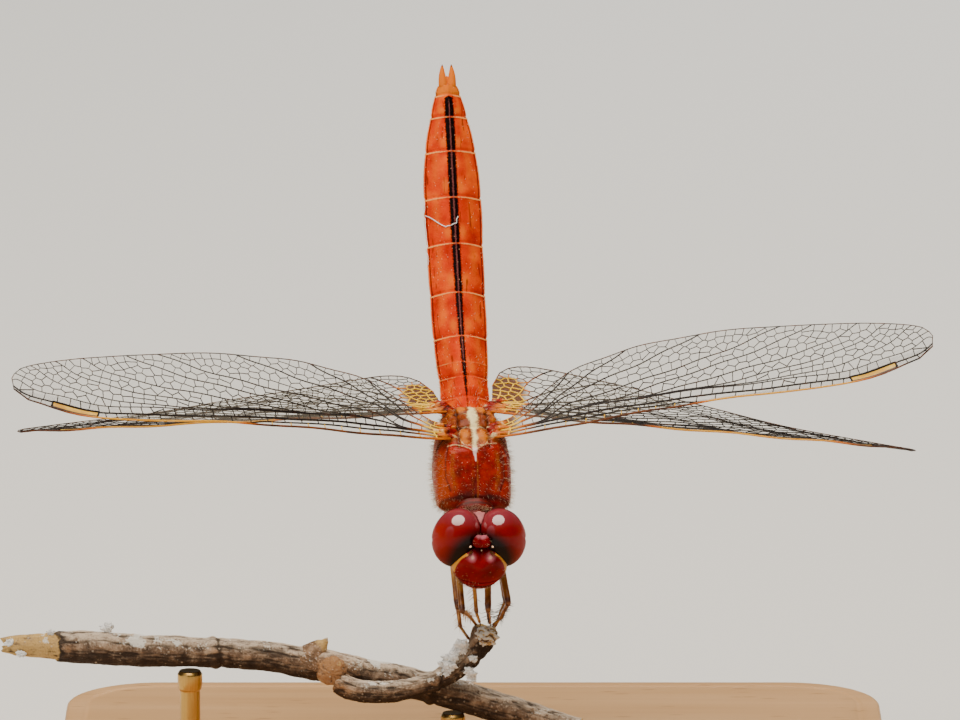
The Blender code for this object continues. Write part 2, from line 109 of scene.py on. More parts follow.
def moved(points: Array, matrix: Matrix) -> Array:
    """Points carried through a matrix.

    Args:
        points: An array whose last axis is x, y, z.
        matrix: The 4 by 4 matrix to apply.

    Returns:
        An array of the same shape.
    """
    m = np.array(matrix)
    return points @ m[:3, :3].T + m[:3, 3]


def ease(low: float, high: float, value: Array) -> Array:
    """Eases from 0 at low to 1 at high, for numbers and arrays alike."""
    t = np.clip((value - low) / (high - low), 0.0, 1.0)
    return t * t * (3 - 2 * t)


def bump(value: Array, width: float) -> Array:
    """A bell of height 1 at 0, which has faded out by about twice its width."""
    return np.exp(-((value / width) ** 2))


def spline(rows: Sequence[Sequence[float]], count: int) -> Array:
    """Evenly parameterised points on a Catmull-Rom curve through rows of numbers.

    Args:
        rows: The stations that the curve passes through.
        count: How many points to return for each span between stations.

    Returns:
        An array with one row for each point, ending on the last station.
    """
    knots = np.array(rows, float)
    padded = np.vstack([2 * knots[0] - knots[1], knots, 2 * knots[-1] - knots[-2]])
    t = np.linspace(0, 1, count, endpoint=False)[:, None]
    spans = []
    for p0, p1, p2, p3 in zip(padded, padded[1:], padded[2:], padded[3:]):
        spans.append(
            0.5 * (2 * p1 + (p2 - p0) * t + (2 * p0 - 5 * p1 + 4 * p2 - p3) * t**2
                   + (3 * p1 - 3 * p2 + p3 - p0) * t**3)
        )
    return np.vstack([*spans, knots[-1:]])


def interpolated(rows: Sequence[Sequence[float]], at: Array) -> Array:
    """The other columns of a table, smoothly interpolated by its first column.

    Args:
        rows: Stations sorted by their first number.
        at: The places to read the table at.

    Returns:
        An array with one row for each place.
    """
    table = spline(rows, 12)
    return np.stack([np.interp(at, table[:, 0], table[:, k]) for k in range(1, table.shape[1])], axis=-1)


def fractal(points: Array, size: float, octaves: int = 3) -> Array:
    """Cloudy noise between about -1 and 1, one value for each point in millimetres."""
    flat = points.reshape(-1, 3) / size
    values = [noise.fractal(Vector(p), 1.0, 2.0, octaves) for p in flat]
    return np.array(values).reshape(points.shape[:-1])


# ---------------------------------------------------------------- bench: making meshes and pieces


class Shading(Enum):
    """How a piece's faces meet the light."""

    SMOOTH = "smooth"
    BY_ANGLE = "by angle"


def deselect() -> None:
    """Leaves edit mode and selects nothing, so that an operator acts on one piece alone."""
    if bpy.context.object and bpy.context.object.mode != "OBJECT":
        bpy.ops.object.mode_set(mode="OBJECT")
    bpy.ops.object.select_all(action="DESELECT")


def focus(obj: Piece) -> None:
    """Makes a piece the only selected and the active one."""
    deselect()
    obj.select_set(True)
    bpy.context.view_layer.objects.active = obj


def edit_whole(obj: Piece) -> None:
    """Opens a piece in edit mode with all of it selected."""
    focus(obj)
    bpy.ops.object.mode_set(mode="EDIT")
    bpy.ops.mesh.select_all(action="SELECT")


def apply_place(obj: Piece) -> Piece:
    """Puts a piece's place, turn and size into its mesh."""
    focus(obj)
    bpy.ops.object.transform_apply(location=True, rotation=True, scale=True)
    return obj


def modify(obj: Piece, kind: str, **settings: object) -> None:
    """Adds a modifier with its settings and applies it."""
    focus(obj)
    modifier = obj.modifiers.new(kind.lower(), kind)
    for key, value in settings.items():
        setattr(modifier, key, value)
    bpy.ops.object.modifier_apply(modifier=modifier.name)


def select_where(obj: Piece, test: Callable[[bpy.types.MeshPolygon], bool]) -> None:
    """Selects in edit mode the faces that pass a test."""
    focus(obj)
    bpy.ops.object.mode_set(mode="EDIT")
    bpy.ops.mesh.select_mode(type="FACE")
    bpy.ops.mesh.select_all(action="DESELECT")
    bpy.ops.object.mode_set(mode="OBJECT")
    for face in obj.data.polygons:
        face.select = test(face)
    bpy.ops.object.mode_set(mode="EDIT")


def shade(obj: Piece, shading: Shading) -> None:
    """Shades a piece smooth, or smooth up to a sharp angle."""
    focus(obj)
    if shading is Shading.SMOOTH:
        bpy.ops.object.shade_smooth()
    else:
        bpy.ops.object.shade_smooth_by_angle(angle=math.radians(SHARP))


def write_fields(mesh: bpy.types.Mesh, fields: dict[str, Sequence[float]]) -> None:
    """Writes the fields that a finish reads, each with one value for every point."""
    for name, values in fields.items():
        attribute = mesh.attributes.new(name, "FLOAT", "POINT")
        attribute.data.foreach_set("value", np.asarray(values, np.float32))


@dataclass
class MeshData:
    """Points in millimetres, faces as tuples of their numbers, and one value per point for each field."""

    points: list = field(default_factory=list)
    faces: list = field(default_factory=list)
    fields: dict = field(default_factory=dict)
    patches: list = field(default_factory=list)

    def add(self, points: Iterable, faces: Iterable, values: dict | None = None,
            patch: tuple | None = None) -> None:
        """Adds a lump of mesh.

        Args:
            points: The new points.
            faces: Faces numbered from the lump's own first point.
            values: For each field, one value for the lump or one for each of its points.
            patch: Where the lump's root lies on the unwrapped skin, for a hair.
        """
        start = len(self.points)
        points = [tuple(p) for p in points]
        faces = [tuple(int(i) + start for i in face) for face in faces]
        self.points.extend(points)
        self.faces.extend(faces)
        for name, value in (values or {}).items():
            column = self.fields.setdefault(name, [])
            column.extend(value if isinstance(value, (list, Array)) else [value] * len(points))
        if patch is not None:
            self.patches.extend([patch] * len(faces))

    def build(self, name: str, matrix: Matrix, finish: "Finish", shading: Shading = Shading.SMOOTH) -> Piece:
        """Makes the piece.

        Args:
            name: The piece's name.
            matrix: The frame that the points are in.
            finish: The finish of the whole piece.
            shading: How its faces are shaded.

        Returns:
            The new object, with its place in its mesh.
        """
        placed = moved(np.array(self.points, float), matrix) * MM
        mesh = bpy.data.meshes.new(name)
        mesh.from_pydata(placed.tolist(), [], self.faces)
        write_fields(mesh, self.fields)
        if self.patches:
            self._lay_patches(mesh)
        mesh.materials.append(material_of(finish))
        mesh.validate()
        obj = bpy.data.objects.new(name, mesh)
        bpy.context.scene.collection.objects.link(obj)
        shade(obj, shading)
        return obj

    def cast(self, name: str, matrix: Matrix, finish: "Finish", slot: str, *nodes: str) -> None:
        put(recalculated(self.build(name, matrix, finish)), slot, *nodes)

    def _lay_patches(self, mesh: bpy.types.Mesh, size: float = 0.003) -> None:
        """Gives each hair a small patch of the map at its root's place on the unwrapped skin."""
        layer = mesh.uv_layers.new(name=BAKE_MAP)
        corners = ((0.0, 0.0), (1.0, 0.0), (1.0, 1.0), (0.0, 1.0))
        uv = np.zeros((len(mesh.loops), 2), np.float32)
        for face, (u, v) in zip(mesh.polygons, self.patches):
            for k, loop in enumerate(face.loop_indices):
                du, dv = corners[k % 4]
                uv[loop] = (u + (du - 0.5) * size, v + (dv - 0.5) * size)
        layer.data.foreach_set("uv", uv.ravel())


def ring_faces(rings: int, sides: int, closed: bool = True) -> list:
    """Quads that join rings of points numbered one after another.

    Args:
        rings: How many rings there are.
        sides: How many points each ring has.
        closed: Whether each ring joins up with itself.

    Returns:
        The faces, facing outwards where the rings run anticlockwise seen from the last ring.
    """
    faces = []
    for r in range(rings - 1):
        for k in range(sides if closed else sides - 1):
            a, b = r * sides + k, r * sides + (k + 1) % sides
            faces.append((a, b, b + sides, a + sides))
    return faces


def tube(path: Array, radii: Array, sides: int, roundness: tuple[float, float] = (1.0, 1.0)) -> tuple:
    """A closed tube along a path, with domed ends.

    Args:
        path: Points along the middle.
        radii: The radius at each.
        sides: How many sides the tube has.
        roundness: How far each dome stands out, in radii of that end.

    Returns:
        The points, the faces, and for each point its distance along the path and its angle around it.
    """
    path, radii = np.asarray(path, float), np.asarray(radii, float)
    steps = np.linalg.norm(np.diff(path, axis=0), axis=1)
    along = np.concatenate([[0], np.cumsum(steps)])
    tangents = np.gradient(path, axis=0)
    tangents /= np.linalg.norm(tangents, axis=1)[:, None]
    side = np.array(Vector(tangents[0]).orthogonal().normalized())
    angles = np.linspace(0, 2 * math.pi, sides, endpoint=False)
    points, lengths, turns = [], [], []
    for i, centre in enumerate(path):
        side = side - tangents[i] * side.dot(tangents[i])
        side /= np.linalg.norm(side)
        across = np.cross(tangents[i], side)
        ring = centre + radii[i] * (np.outer(np.cos(angles), side) + np.outer(np.sin(angles), across))
        points.append(ring)
        lengths += [along[i]] * sides
        turns += list(angles)
    faces = ring_faces(len(path), sides)
    points = list(np.vstack(points))
    for end, row, direction in ((0, 0, -1), (1, len(path) - 1, 1)):
        tip = path[row] + tangents[row] * direction * radii[row] * roundness[end]
        points.append(tip)
        lengths.append(along[row])
        turns.append(0.0)
        ring = [row * sides + k for k in range(sides)]
        if direction > 0:
            faces += [(ring[k], ring[(k + 1) % sides], len(points) - 1) for k in range(sides)]
        else:
            faces += [(ring[(k + 1) % sides], ring[k], len(points) - 1) for k in range(sides)]
    return points, faces, np.array(lengths), np.array(turns)


def bristle(root: Array, direction: Array, length: float, radius: float,
            droop: Array | None = None, sides: int = 3) -> tuple[list, list]:
    """A tapered, slightly bent hair or spine.

    Args:
        root: Where it grows from.
        direction: Where it points, of any length.
        length: How long it is.
        radius: Its radius at the root.
        droop: How far its tip is bent aside.
        sides: How many sides it has.

    Returns:
        Its points and faces.
    """
    direction = direction / np.linalg.norm(direction)
    side = np.array(Vector(direction).orthogonal().normalized())
    across = np.cross(direction, side)
    droop = np.zeros(3) if droop is None else droop
    points = []
    for share, width in ((-0.05, 1.0), (0.5, 0.62)):
        centre = root + direction * length * share + droop * max(share, 0) ** 2
        for k in range(sides):
            angle = 2 * math.pi * k / sides
            points.append(centre + radius * width * (side * math.cos(angle) + across * math.sin(angle)))
    points.append(root + direction * length + droop)
    faces = [tuple(reversed(range(sides)))] + ring_faces(2, sides)
    faces += [(sides + k, sides + (k + 1) % sides, 2 * sides) for k in range(sides)]
    return points, faces


def put(obj: Piece, slot: str, *nodes: str) -> None:
    """Attaches a finished piece to what it rides on and hides the solids that it stands for."""
    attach(obj, BODY)
    if nodes:
        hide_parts(*nodes)
    log.info("%s: %d faces", obj.name, len(obj.data.polygons))


# ---------------------------------------------------------------- finishes


def linear(code: str) -> tuple[float, float, float, float]:
    """The linear colour of an sRGB hex value."""
    parts = [int(code[k : k + 2], 16) / 255 for k in (1, 3, 5)]
    return (*[p / 12.92 if p <= 0.04045 else ((p + 0.055) / 1.055) ** 2.4 for p in parts], 1.0)


def add_node(tree: Tree, kind: str, sockets: dict | None = None, **settings: object) -> bpy.types.Node:
    """Adds a node to a tree.

    Args:
        tree: The tree to add it to.
        kind: The node's type.
        sockets: For each input, by name or number, a value or the output that feeds it.
        **settings: The node's own settings.

    Returns:
        The new node.
    """
    made = tree.nodes.new(kind)
    for key, value in settings.items():
        setattr(made, key, value)
    for key, value in (sockets or {}).items():
        if isinstance(value, Socket):
            tree.links.new(value, made.inputs[key])
        else:
            made.inputs[key].default_value = value
    return made


def place_in(tree: Tree) -> Socket:
    """The place of each point on the piece."""
    return add_node(tree, "ShaderNodeTexCoord").outputs["Object"]


def field_in(tree: Tree, name: str) -> Socket:
    """The value of a piece's field."""
    return add_node(tree, "ShaderNodeAttribute", attribute_name=name).outputs["Fac"]


def clouded(tree: Tree, where: Socket, size: float, detail: float) -> Socket:
    """Soft noise, in patches of about so many millimetres."""
    sockets = {"Vector": where, "Scale": 1 / (size * MM), "Detail": detail}
    return add_node(tree, "ShaderNodeTexNoise", sockets).outputs["Fac"]


def dotted(tree: Tree, where: Socket, size: float, **settings: object) -> Socket:
    """How far each point is from the nearest of many dots, about so many millimetres apart."""
    sockets = {"Vector": where, "Scale": 1 / (size * MM)}
    return add_node(tree, "ShaderNodeTexVoronoi", sockets, **settings).outputs["Distance"]


def drawn_out(tree: Tree, scale: tuple[float, float, float]) -> Socket:
    """The place of each point, with a pattern's size along each axis divided by the scale."""
    return add_node(tree, "ShaderNodeMapping", {"Vector": place_in(tree), "Scale": scale}).outputs[0]


def mapped(tree: Tree, value: Socket, low: float, high: float, start: float, end: float,
           **settings: object) -> Socket:
    """A value carried from the range between low and high to the one between start and end."""
    sockets = {0: value, 1: low, 2: high, 3: start, 4: end}
    return add_node(tree, "ShaderNodeMapRange", sockets, **settings).outputs[0]


def reckoned(tree: Tree, operation: str, *values: object) -> Socket:
    """A sum done on sockets and numbers."""
    return add_node(tree, "ShaderNodeMath", dict(enumerate(values)), operation=operation).outputs[0]


def blend(tree: Tree, share: Socket, under: object, over: object) -> Socket:
    """One colour laid over another by a share."""
    return add_node(tree, "ShaderNodeMix", {0: share, 6: under, 7: over}, data_type="RGBA").outputs[2]


def toned(tree: Tree, share: Socket, *stops: tuple[float, str]) -> Socket:
    """A run of colours through stops, each a share and a tone."""
    made = add_node(tree, "ShaderNodeValToRGB", {"Fac": share})
    elements = made.color_ramp.elements
    for element, (place, tone) in zip(elements, (stops[0], stops[-1])):
        element.position = place
        element.color = linear(tone)
    for place, tone in stops[1:-1]:
        elements.new(place).color = linear(tone)
    return made.outputs["Color"]


def embossed(tree: Tree, height: Socket, depth: float, strength: float = 1.0, **settings: object) -> Socket:
    """Fine relief, as deep as so many millimetres."""
    sockets = {"Strength": strength, "Distance": depth * MM, "Height": height}
    return add_node(tree, "ShaderNodeBump", sockets, **settings).outputs[0]


class Finish:
    """A finish of the model, which knows the nodes of its surface."""

    name: str

    def surface(self, tree: Tree) -> bpy.types.Node:
        """Writes the surface's nodes into a tree and returns the shader."""
        raise NotImplementedError


@cache
def material_of(finish: Finish) -> bpy.types.Material:
    """The material of a finish, made once, when the first piece asks for it."""
    material = bpy.data.materials.new(finish.name)
    material.use_nodes = True
    tree = material.node_tree
    tree.nodes.clear()
    add_node(tree, "ShaderNodeOutputMaterial", {"Surface": finish.surface(tree).outputs[0]})
    return material


@dataclass(frozen=True)
class Layer:
    """A layer of colour, which takes the surface's colour where its field passes a half: a marking, or in
    some finishes painted light or shade.

    softness is half the width of its edge, and ragged is how far fine noise shifts that edge.
    """

    field: str
    colour: str
    softness: float = 0.2
    ragged: float = 0.2
    strength: float = 1.0

    def over(self, tree: Tree, wobble: Socket, colour: Socket) -> Socket:
        """Lays the layer over the colour so far."""
        shifted = reckoned(tree, "MULTIPLY_ADD", wobble, self.ragged * 2, field_in(tree, self.field))
        share = mapped(tree, shifted, 0.5 - self.softness, 0.5 + self.softness, 0.0, self.strength,
                       interpolation_type="SMOOTHSTEP")
        return blend(tree, share, colour, linear(self.colour))


@dataclass(frozen=True)
class Mottled(Finish):
    """A surface clouded between three tones, with specks, fine relief and layers of markings and painted
    light and shade.
    """

    name: str
    tones: tuple[str, str, str]
    cloud: float = 1.1
    roughness: float = 0.4
    coat: float = 0.25
    coat_roughness: float = 0.2
    speck: str = "#E9A890"
    speck_spacing: float = 0.4
    speck_radius: float = 0.05
    gloss: float = 0.3
    relief: float = 0.02
    grain: float = 0.12
    layers: tuple[Layer, ...] = ()

    def surface(self, tree: Tree) -> bpy.types.Node:
        """Clouds, then the layers of markings and painted light and shade, then the specks, which also stand
        out a little.
        """
        where = place_in(tree)
        clouds = clouded(tree, where, self.cloud, 5.0)
        grain = clouded(tree, where, self.grain, 3.0)
        wobble = reckoned(tree, "SUBTRACT", grain, 0.5)
        colour = toned(tree, clouds, *zip((0.3, 0.5, 0.7), self.tones))
        for layer in self.layers:
            colour = layer.over(tree, wobble, colour)
        dots = dotted(tree, where, self.speck_spacing)
        reach = self.speck_radius / self.speck_spacing
        speck = mapped(tree, dots, reach * 0.6, reach * 1.5, 1.0, 0.0)
        colour = blend(tree, reckoned(tree, "MULTIPLY", speck, clouds), colour, linear(self.speck))
        height = reckoned(tree, "MULTIPLY_ADD", speck, 0.6, grain)
        return add_node(tree, PRINCIPLED, {
            "Base Color": colour, "Roughness": self.roughness, "Specular IOR Level": self.gloss,
            "Coat Weight": self.coat, "Coat Roughness": self.coat_roughness,
            "Normal": embossed(tree, height, self.relief),
        })


@dataclass(frozen=True)
class EyeLens(Finish):
    """A compound eye: smooth chitin lenses, ruby, with a painted sky sheen on top and painted shade, with the
    dark pseudopupil, downwards and inwards.
    """

    name: str = "ruby_eye_facets"
    # a paler mauve top: painted sheen of the sky
    painted_sky_sheen: str = "#8C2C3A"
    middle: str = "#7A0002"
    cheek: str = "#9C1A08"
    # near black low and inwards: painted shade, with the dark pseudopupil
    deep: str = "#0C0102"
    facet: float = 0.07  # the real ones are half as wide, which would not show

    def surface(self, tree: Tree) -> bpy.types.Node:
        """The eye's tones, laid over each other, under a clear coat that is glossy above."""
        colour: object = linear(self.middle)
        for name, tone in (("cheek", self.cheek), ("painted_sky_sheen", self.painted_sky_sheen), ("deep", self.deep)):
            colour = blend(tree, field_in(tree, name), colour, linear(tone))
        facets = dotted(tree, place_in(tree), self.facet, feature="SMOOTH_F1")
        return add_node(tree, PRINCIPLED, {
            "Base Color": colour, "Roughness": 0.5, "Specular IOR Level": 0.1,
            "Coat Weight": field_in(tree, "gloss"), "Coat IOR": 2.15, "Coat Roughness": 0.03,
            "Normal": embossed(tree, facets, 0.004, 0.35, invert=True),
        })


@dataclass(frozen=True)
class Membrane(Finish):
    """The wing's film of clear chitin, which is faintly smoky, and amber at the root."""

    name: str = "clear_wing_membrane"
    tint: str = "#9C9484"
    amber: str = "#5A2C04"
    haze: float = 0.17

    def surface(self, tree: Tree) -> bpy.types.Node:
        """A film that covers little where it is clear and nearly all where it is amber."""
        amber = field_in(tree, "amber")
        colour = blend(tree, amber, linear(self.tint), linear(self.amber))
        cover = mapped(tree, amber, 0.0, 1.0, self.haze, 0.95)
        clear = add_node(tree, "ShaderNodeBsdfTransparent", {"Color": (1.0, 1.0, 1.0, 1.0)})
        film = add_node(tree, PRINCIPLED, {
            "Base Color": colour, "Roughness": 0.15, "Specular IOR Level": 0.12,
        })
        return add_node(tree, "ShaderNodeMixShader", {0: cover, 1: clear.outputs[0], 2: film.outputs[0]})


@dataclass(frozen=True)
class Bristles(Finish):
    """Hair and spines of hard chitin, patchy between two tones."""

    name: str
    dark: str
    pale: str
    roughness: float = 0.38

    def surface(self, tree: Tree) -> bpy.types.Node:
        """Two tones of chitin in soft patches."""
        patchy = clouded(tree, place_in(tree), 0.9, 2.0)
        colour = blend(tree, patchy, linear(self.dark), linear(self.pale))
        return add_node(tree, PRINCIPLED, {"Base Color": colour, "Roughness": self.roughness, "IOR": 1.55})


@dataclass(frozen=True)
class Veins(Finish):
    """Wing veins: tubes of chitin that run from amber at the root and the front edge to near black."""

    name: str = "wing_vein_chitin"
    dark: str = "#140A06"
    amber: str = "#C9690F"
    straw: str = "#F0C23C"

    def surface(self, tree: Tree) -> bpy.types.Node:
        """The vein's tone, a little patchy, carried to its colour."""
        patchy = clouded(tree, place_in(tree), 0.8, 2.0)
        tone = reckoned(tree, "MULTIPLY_ADD", patchy, 0.25, field_in(tree, "tone"))
        colour = toned(tree, tone, (0.15, self.dark), (0.62, self.amber), (1.0, self.straw))
        return add_node(tree, PRINCIPLED, {
            "Base Color": colour, "Roughness": 0.35, "Specular IOR Level": 0.3,
        })


@dataclass(frozen=True)
class Wood(Finish):
    """Planed and oiled beech: straight pale grain with short brown flecks."""

    name: str = "oiled_beech"
    light: str = "#CFA777"
    dark: str = "#B28555"
    fleck: str = "#8F6238"

    def surface(self, tree: Tree) -> bpy.types.Node:
        """Grain along X, with flecks over it."""
        grain = clouded(tree, drawn_out(tree, (0.06, 1.0, 1.0)), 1.6, 6.0)
        colour = blend(tree, grain, linear(self.dark), linear(self.light))
        flecks = dotted(tree, drawn_out(tree, (0.22, 1.0, 1.0)), 0.9)
        colour = blend(tree, mapped(tree, flecks, 0.08, 0.2, 0.6, 0.0), colour, linear(self.fleck))
        return add_node(tree, PRINCIPLED, {
            "Base Color": colour, "Roughness": 0.42, "IOR": 1.5, "Coat Weight": 0.15, "Coat Roughness": 0.3,
            "Normal": embossed(tree, grain, 0.05, 0.3),
        })


@dataclass(frozen=True)
class Brass(Finish):
    """Drawn brass rod: fine scratches along its length and a soft polish."""

    name: str = "drawn_brass"
    bright: str = "#D9B064"
    worn: str = "#A87C3A"

    def surface(self, tree: Tree) -> bpy.types.Node:
        """Scratches along Z, which change both colour and polish."""
        lines = clouded(tree, drawn_out(tree, (1.0, 1.0, 0.04)), 0.12, 4.0)
        colour = blend(tree, lines, linear(self.worn), linear(self.bright))
        rough = mapped(tree, lines, 0.0, 1.0, 0.22, 0.4)
        return add_node(tree, PRINCIPLED, {"Base Color": colour, "Metallic": 1.0, "Roughness": rough})


@dataclass(frozen=True)
class Paper(Finish):
    """The studio's matt paper floor."""

    name: str = "pale_floor_paper"
    colour: str = "#DEDCD6"

    def surface(self, tree: Tree) -> bpy.types.Node:
        """One pale colour over a faint fibre."""
        fibre = embossed(tree, clouded(tree, place_in(tree), 1.5, 3.0), 0.05, 0.1)
        return add_node(tree, PRINCIPLED, {
            "Base Color": linear(self.colour), "Roughness": 0.9, "Normal": fibre,
        })


# Hardened, pigmented cuticle: a soft waxy gloss over scarlet, with grainy tubercles.
ABDOMEN_CUTICLE = Mottled(
    "scarlet_abdomen_cuticle", ("#B01A00", "#D23400", "#F05A00"), cloud=1.5, roughness=0.5, coat=0.0,
    gloss=0.03, speck="#F2B48C", speck_spacing=0.38, speck_radius=0.04, relief=0.02, grain=0.1,
    layers=(
        Layer("glow", "#EE7208", softness=0.5, ragged=0.3, strength=0.6),
        Layer("under", "#6E1D0B", softness=0.3, ragged=0.1),
        Layer("tail", "#D87414", softness=0.5, ragged=0.4, strength=0.85),
        Layer("stripe", "#0A0102", softness=0.3, ragged=0.7),
        Layer("keel", "#8A4A48", softness=0.3, ragged=1.0, strength=0.6),
        Layer("edge", "#3A0806", softness=0.25, ragged=0.1, strength=0.8),
        Layer("rim", "#E8A878", softness=0.3, ragged=0.3, strength=0.8),
        Layer("ridge", "#EFA45C", softness=0.3, ragged=0.5, strength=0.9),
    ),
)
THORAX_CUTICLE = Mottled(
    "dark_red_thorax_cuticle", ("#5C0400", "#8A0C00", "#AE2000"), cloud=0.8, roughness=0.4, coat=0.1,
    gloss=0.15, speck="#F09A80", speck_spacing=0.34, speck_radius=0.035, relief=0.03, grain=0.1,
    layers=(
        # orange flanks, painted weaker on the insect's left as painted shade and stronger on its lit right as
        # painted light
        Layer("flank_and_side_light", "#A33A08", softness=0.5, ragged=0.4, strength=0.9),
        Layer("notum", "#7E3208", softness=0.3, ragged=0.3),
        Layer("amber", "#C86C10", softness=0.4, ragged=0.3),
        Layer("suture", "#2A0503", softness=0.4, ragged=0.35, strength=0.85),
        Layer("olive", "#A8691C", softness=0.4, ragged=0.5, strength=0.75),
        Layer("cream", "#FBE6A6", softness=0.45, ragged=0.45),
        Layer("pink", "#F4D3CF", softness=0.3, ragged=0.1),
        Layer("under", "#8A3414", softness=0.4, ragged=0.15, strength=0.7),
    ),
)
FACE_CUTICLE = Mottled(
    "glossy_face_cuticle", ("#560003", "#760104", "#8C0304"), cloud=1.4, roughness=0.4, coat=0.14, gloss=0.03,
    coat_roughness=0.2, speck="#C8483C", speck_spacing=0.34, speck_radius=0.025, relief=0.006, grain=0.1,
    layers=(
        Layer("gold", "#D9952F", softness=0.35, ragged=0.2, strength=0.95),
        # pink and cream also paint the highlights on the frons, the crown's top and the ocelli; on the skull
        # they are the occiput's colour
        Layer("pink", "#B0606E", softness=0.45, ragged=0.15, strength=0.85),
        Layer("suture", "#1C0303", softness=0.35, ragged=0.1, strength=0.95),
        Layer("cream", "#F0C9A8", softness=0.3, ragged=0.1),
    ),
)
LEG_CUTICLE = Mottled(
    "brown_leg_cuticle", ("#5C2C0C", "#854A1A", "#A66A2A"), cloud=0.8, roughness=0.35, coat=0.3,
    speck="#B07A44", speck_spacing=0.25, speck_radius=0.03, relief=0.008, grain=0.08,
    layers=(Layer("pale", "#D69A48", softness=0.45, ragged=0.3, strength=0.85),
            Layer("joint", "#3A160A", softness=0.4, ragged=0.2, strength=0.8)),
)
STIGMA_CUTICLE = Mottled(
    "golden_wing_spot", ("#C98F2C", "#DDAA3E", "#EBC45C"), cloud=0.8, roughness=0.4, coat=0.3,
    speck="#B87A20", speck_spacing=0.2, speck_radius=0.02, relief=0.01, grain=0.1,
    layers=(Layer("border", "#1E120A", softness=0.3, ragged=0.05),),
)
# Weathered bark: matt cork, furrowed along the twig, scurfy and pale where its skin has lifted, with painted
# light on its top and painted shade on its underside.
BARK = Mottled(
    "weathered_twig_bark", ("#40332A", "#6E5846", "#A48C74"), cloud=0.7, roughness=0.85, coat=0.0,
    speck="#D2BEA6", speck_spacing=0.62, speck_radius=0.075, gloss=0.2, relief=0.1, grain=0.16,
    layers=(
        Layer("tan", "#A8794E", softness=0.5, ragged=0.7, strength=0.8),
        # painted light: paler on the upward-facing top
        Layer("painted_sunlit_top", "#D2BFA8", softness=0.5, ragged=0.8, strength=0.85),
        # furrow: the furrows, cracks and scar steps, and painted shade on the underside
        Layer("furrow", "#261B14", softness=0.45, ragged=0.6, strength=0.9),
        Layer("wood", "#BD9B62", softness=0.3, ragged=0.4),
        Layer("scurf", "#DAD6CC", softness=0.2, ragged=0.8, strength=0.9),
    ),
)
# Spider silk and plant down: matt, almost white fibre.
DOWN = Mottled(
    "white_plant_down", ("#DEDEDA", "#F0F0EE", "#FFFFFF"), cloud=0.6, roughness=0.8, coat=0.0,
    speck="#B9AF9E", speck_spacing=0.3, speck_radius=0.04, relief=0.06, grain=0.12,
)
PALE_HAIR = Bristles("pale_chitin_hair", "#C99A66", "#F2E0BE")
# Two colourings of the same spines: dark for the legs on the shaded left, golden for those on the lit right,
# as painted shade and painted light.
SHADED_SIDE_SPINES = Bristles("shaded_side_chitin_spines", "#1A0A06", "#4A2412")
LIT_SIDE_SPINES = Bristles("lit_side_chitin_spines", "#9A5A20", "#E2B268")


# ---------------------------------------------------------------- shaping helpers


def recalculated(obj: Piece) -> Piece:
    """Turns every face of a closed piece outwards."""
    edit_whole(obj)
    bpy.ops.mesh.normals_make_consistent(inside=False)
    bpy.ops.object.mode_set(mode="OBJECT")
    return obj


def grid_normals(grid: Array) -> Array:
    """Unit normals of a grid of rings, pointing away from each ring's middle."""
    along = np.gradient(grid, axis=0)
    around = np.roll(grid, -1, axis=1) - np.roll(grid, 1, axis=1)
    normals = np.cross(along, around)
    normals /= np.linalg.norm(normals, axis=2)[..., None] + 1e-12
    outward = grid - grid.mean(axis=1, keepdims=True)
    normals[np.einsum("ijk,ijk->ij", normals, outward) < 0] *= -1
    return normals


def wrapped(grid: Array, fields: dict[str, Array]) -> MeshData:
    """A closed skin over a grid of rings, with a pole at each end.

    Args:
        grid: Points by ring and place on the ring.
        fields: For each field, its values by ring and place.

    Returns:
        The mesh data.
    """
    rings, sides = grid.shape[:2]
    data = MeshData()
    values = {name: list(value.ravel()) for name, value in fields.items()}
    faces = ring_faces(rings, sides)
    points = list(grid.reshape(-1, 3))
    for row, flip in ((0, True), (rings - 1, False)):
        points.append(grid[row].mean(axis=0))
        for name, value in fields.items():
            values[name].append(float(value[row].mean()))
        ring = [row * sides + k for k in range(sides)]
        pairs = [(ring[k], ring[(k + 1) % sides]) for k in range(sides)]
        faces += [(b, a, len(points) - 1) if flip else (a, b, len(points) - 1) for a, b in pairs]
    data.add(points, faces, values)
    return data


def polyline_distance(x: Array, y: Array, rows: Sequence[tuple[float, float]]) -> Array:
    """How far each place is from a bent line, in the plane of the two given axes."""
    best = np.full(np.shape(x), 1e9)
    for (x0, y0), (x1, y1) in zip(rows, rows[1:]):
        dx, dy = x1 - x0, y1 - y0
        t = np.clip(((x - x0) * dx + (y - y0) * dy) / (dx * dx + dy * dy), 0, 1)
        best = np.minimum(best, np.hypot(x - x0 - t * dx, y - y0 - t * dy))
    return best


def spot(x: Array, y: Array, centre: tuple[float, float], radii: tuple[float, float]) -> Array:
    """A round hill of height 1 with soft sides, as wide as the radii at its foot."""
    return np.exp(-2.0 * (((x - centre[0]) / radii[0]) ** 2 + ((y - centre[1]) / radii[1]) ** 2))


def line_field(distance: Array, half_width: float, soften: float = 0.08) -> Array:
    """A field that passes a half at the edge of a line, from the distance to its middle."""
    return np.clip(0.5 + (half_width - distance) / (2 * soften), 0.0, 1.0)


def ball(name: str, centre: Sequence[float], radii: Sequence[float], matrix: Matrix,
         segments: int, rings: int, lean: float = 0.0) -> Piece:
    """An ellipsoid to start a piece from, leaned about the fore-and-aft axis of its frame."""
    deselect()
    bpy.ops.mesh.primitive_uv_sphere_add(segments=segments, ring_count=rings, radius=1.0)
    obj = bpy.context.object
    obj.name = obj.data.name = name
    leaned = Matrix.Rotation(math.radians(lean), 4, "Y")
    local = Matrix.Translation(centre) @ leaned @ Matrix.Diagonal((*radii, 1))
    obj.matrix_world = Matrix.Scale(MM, 4) @ matrix @ local
    return apply_place(obj)


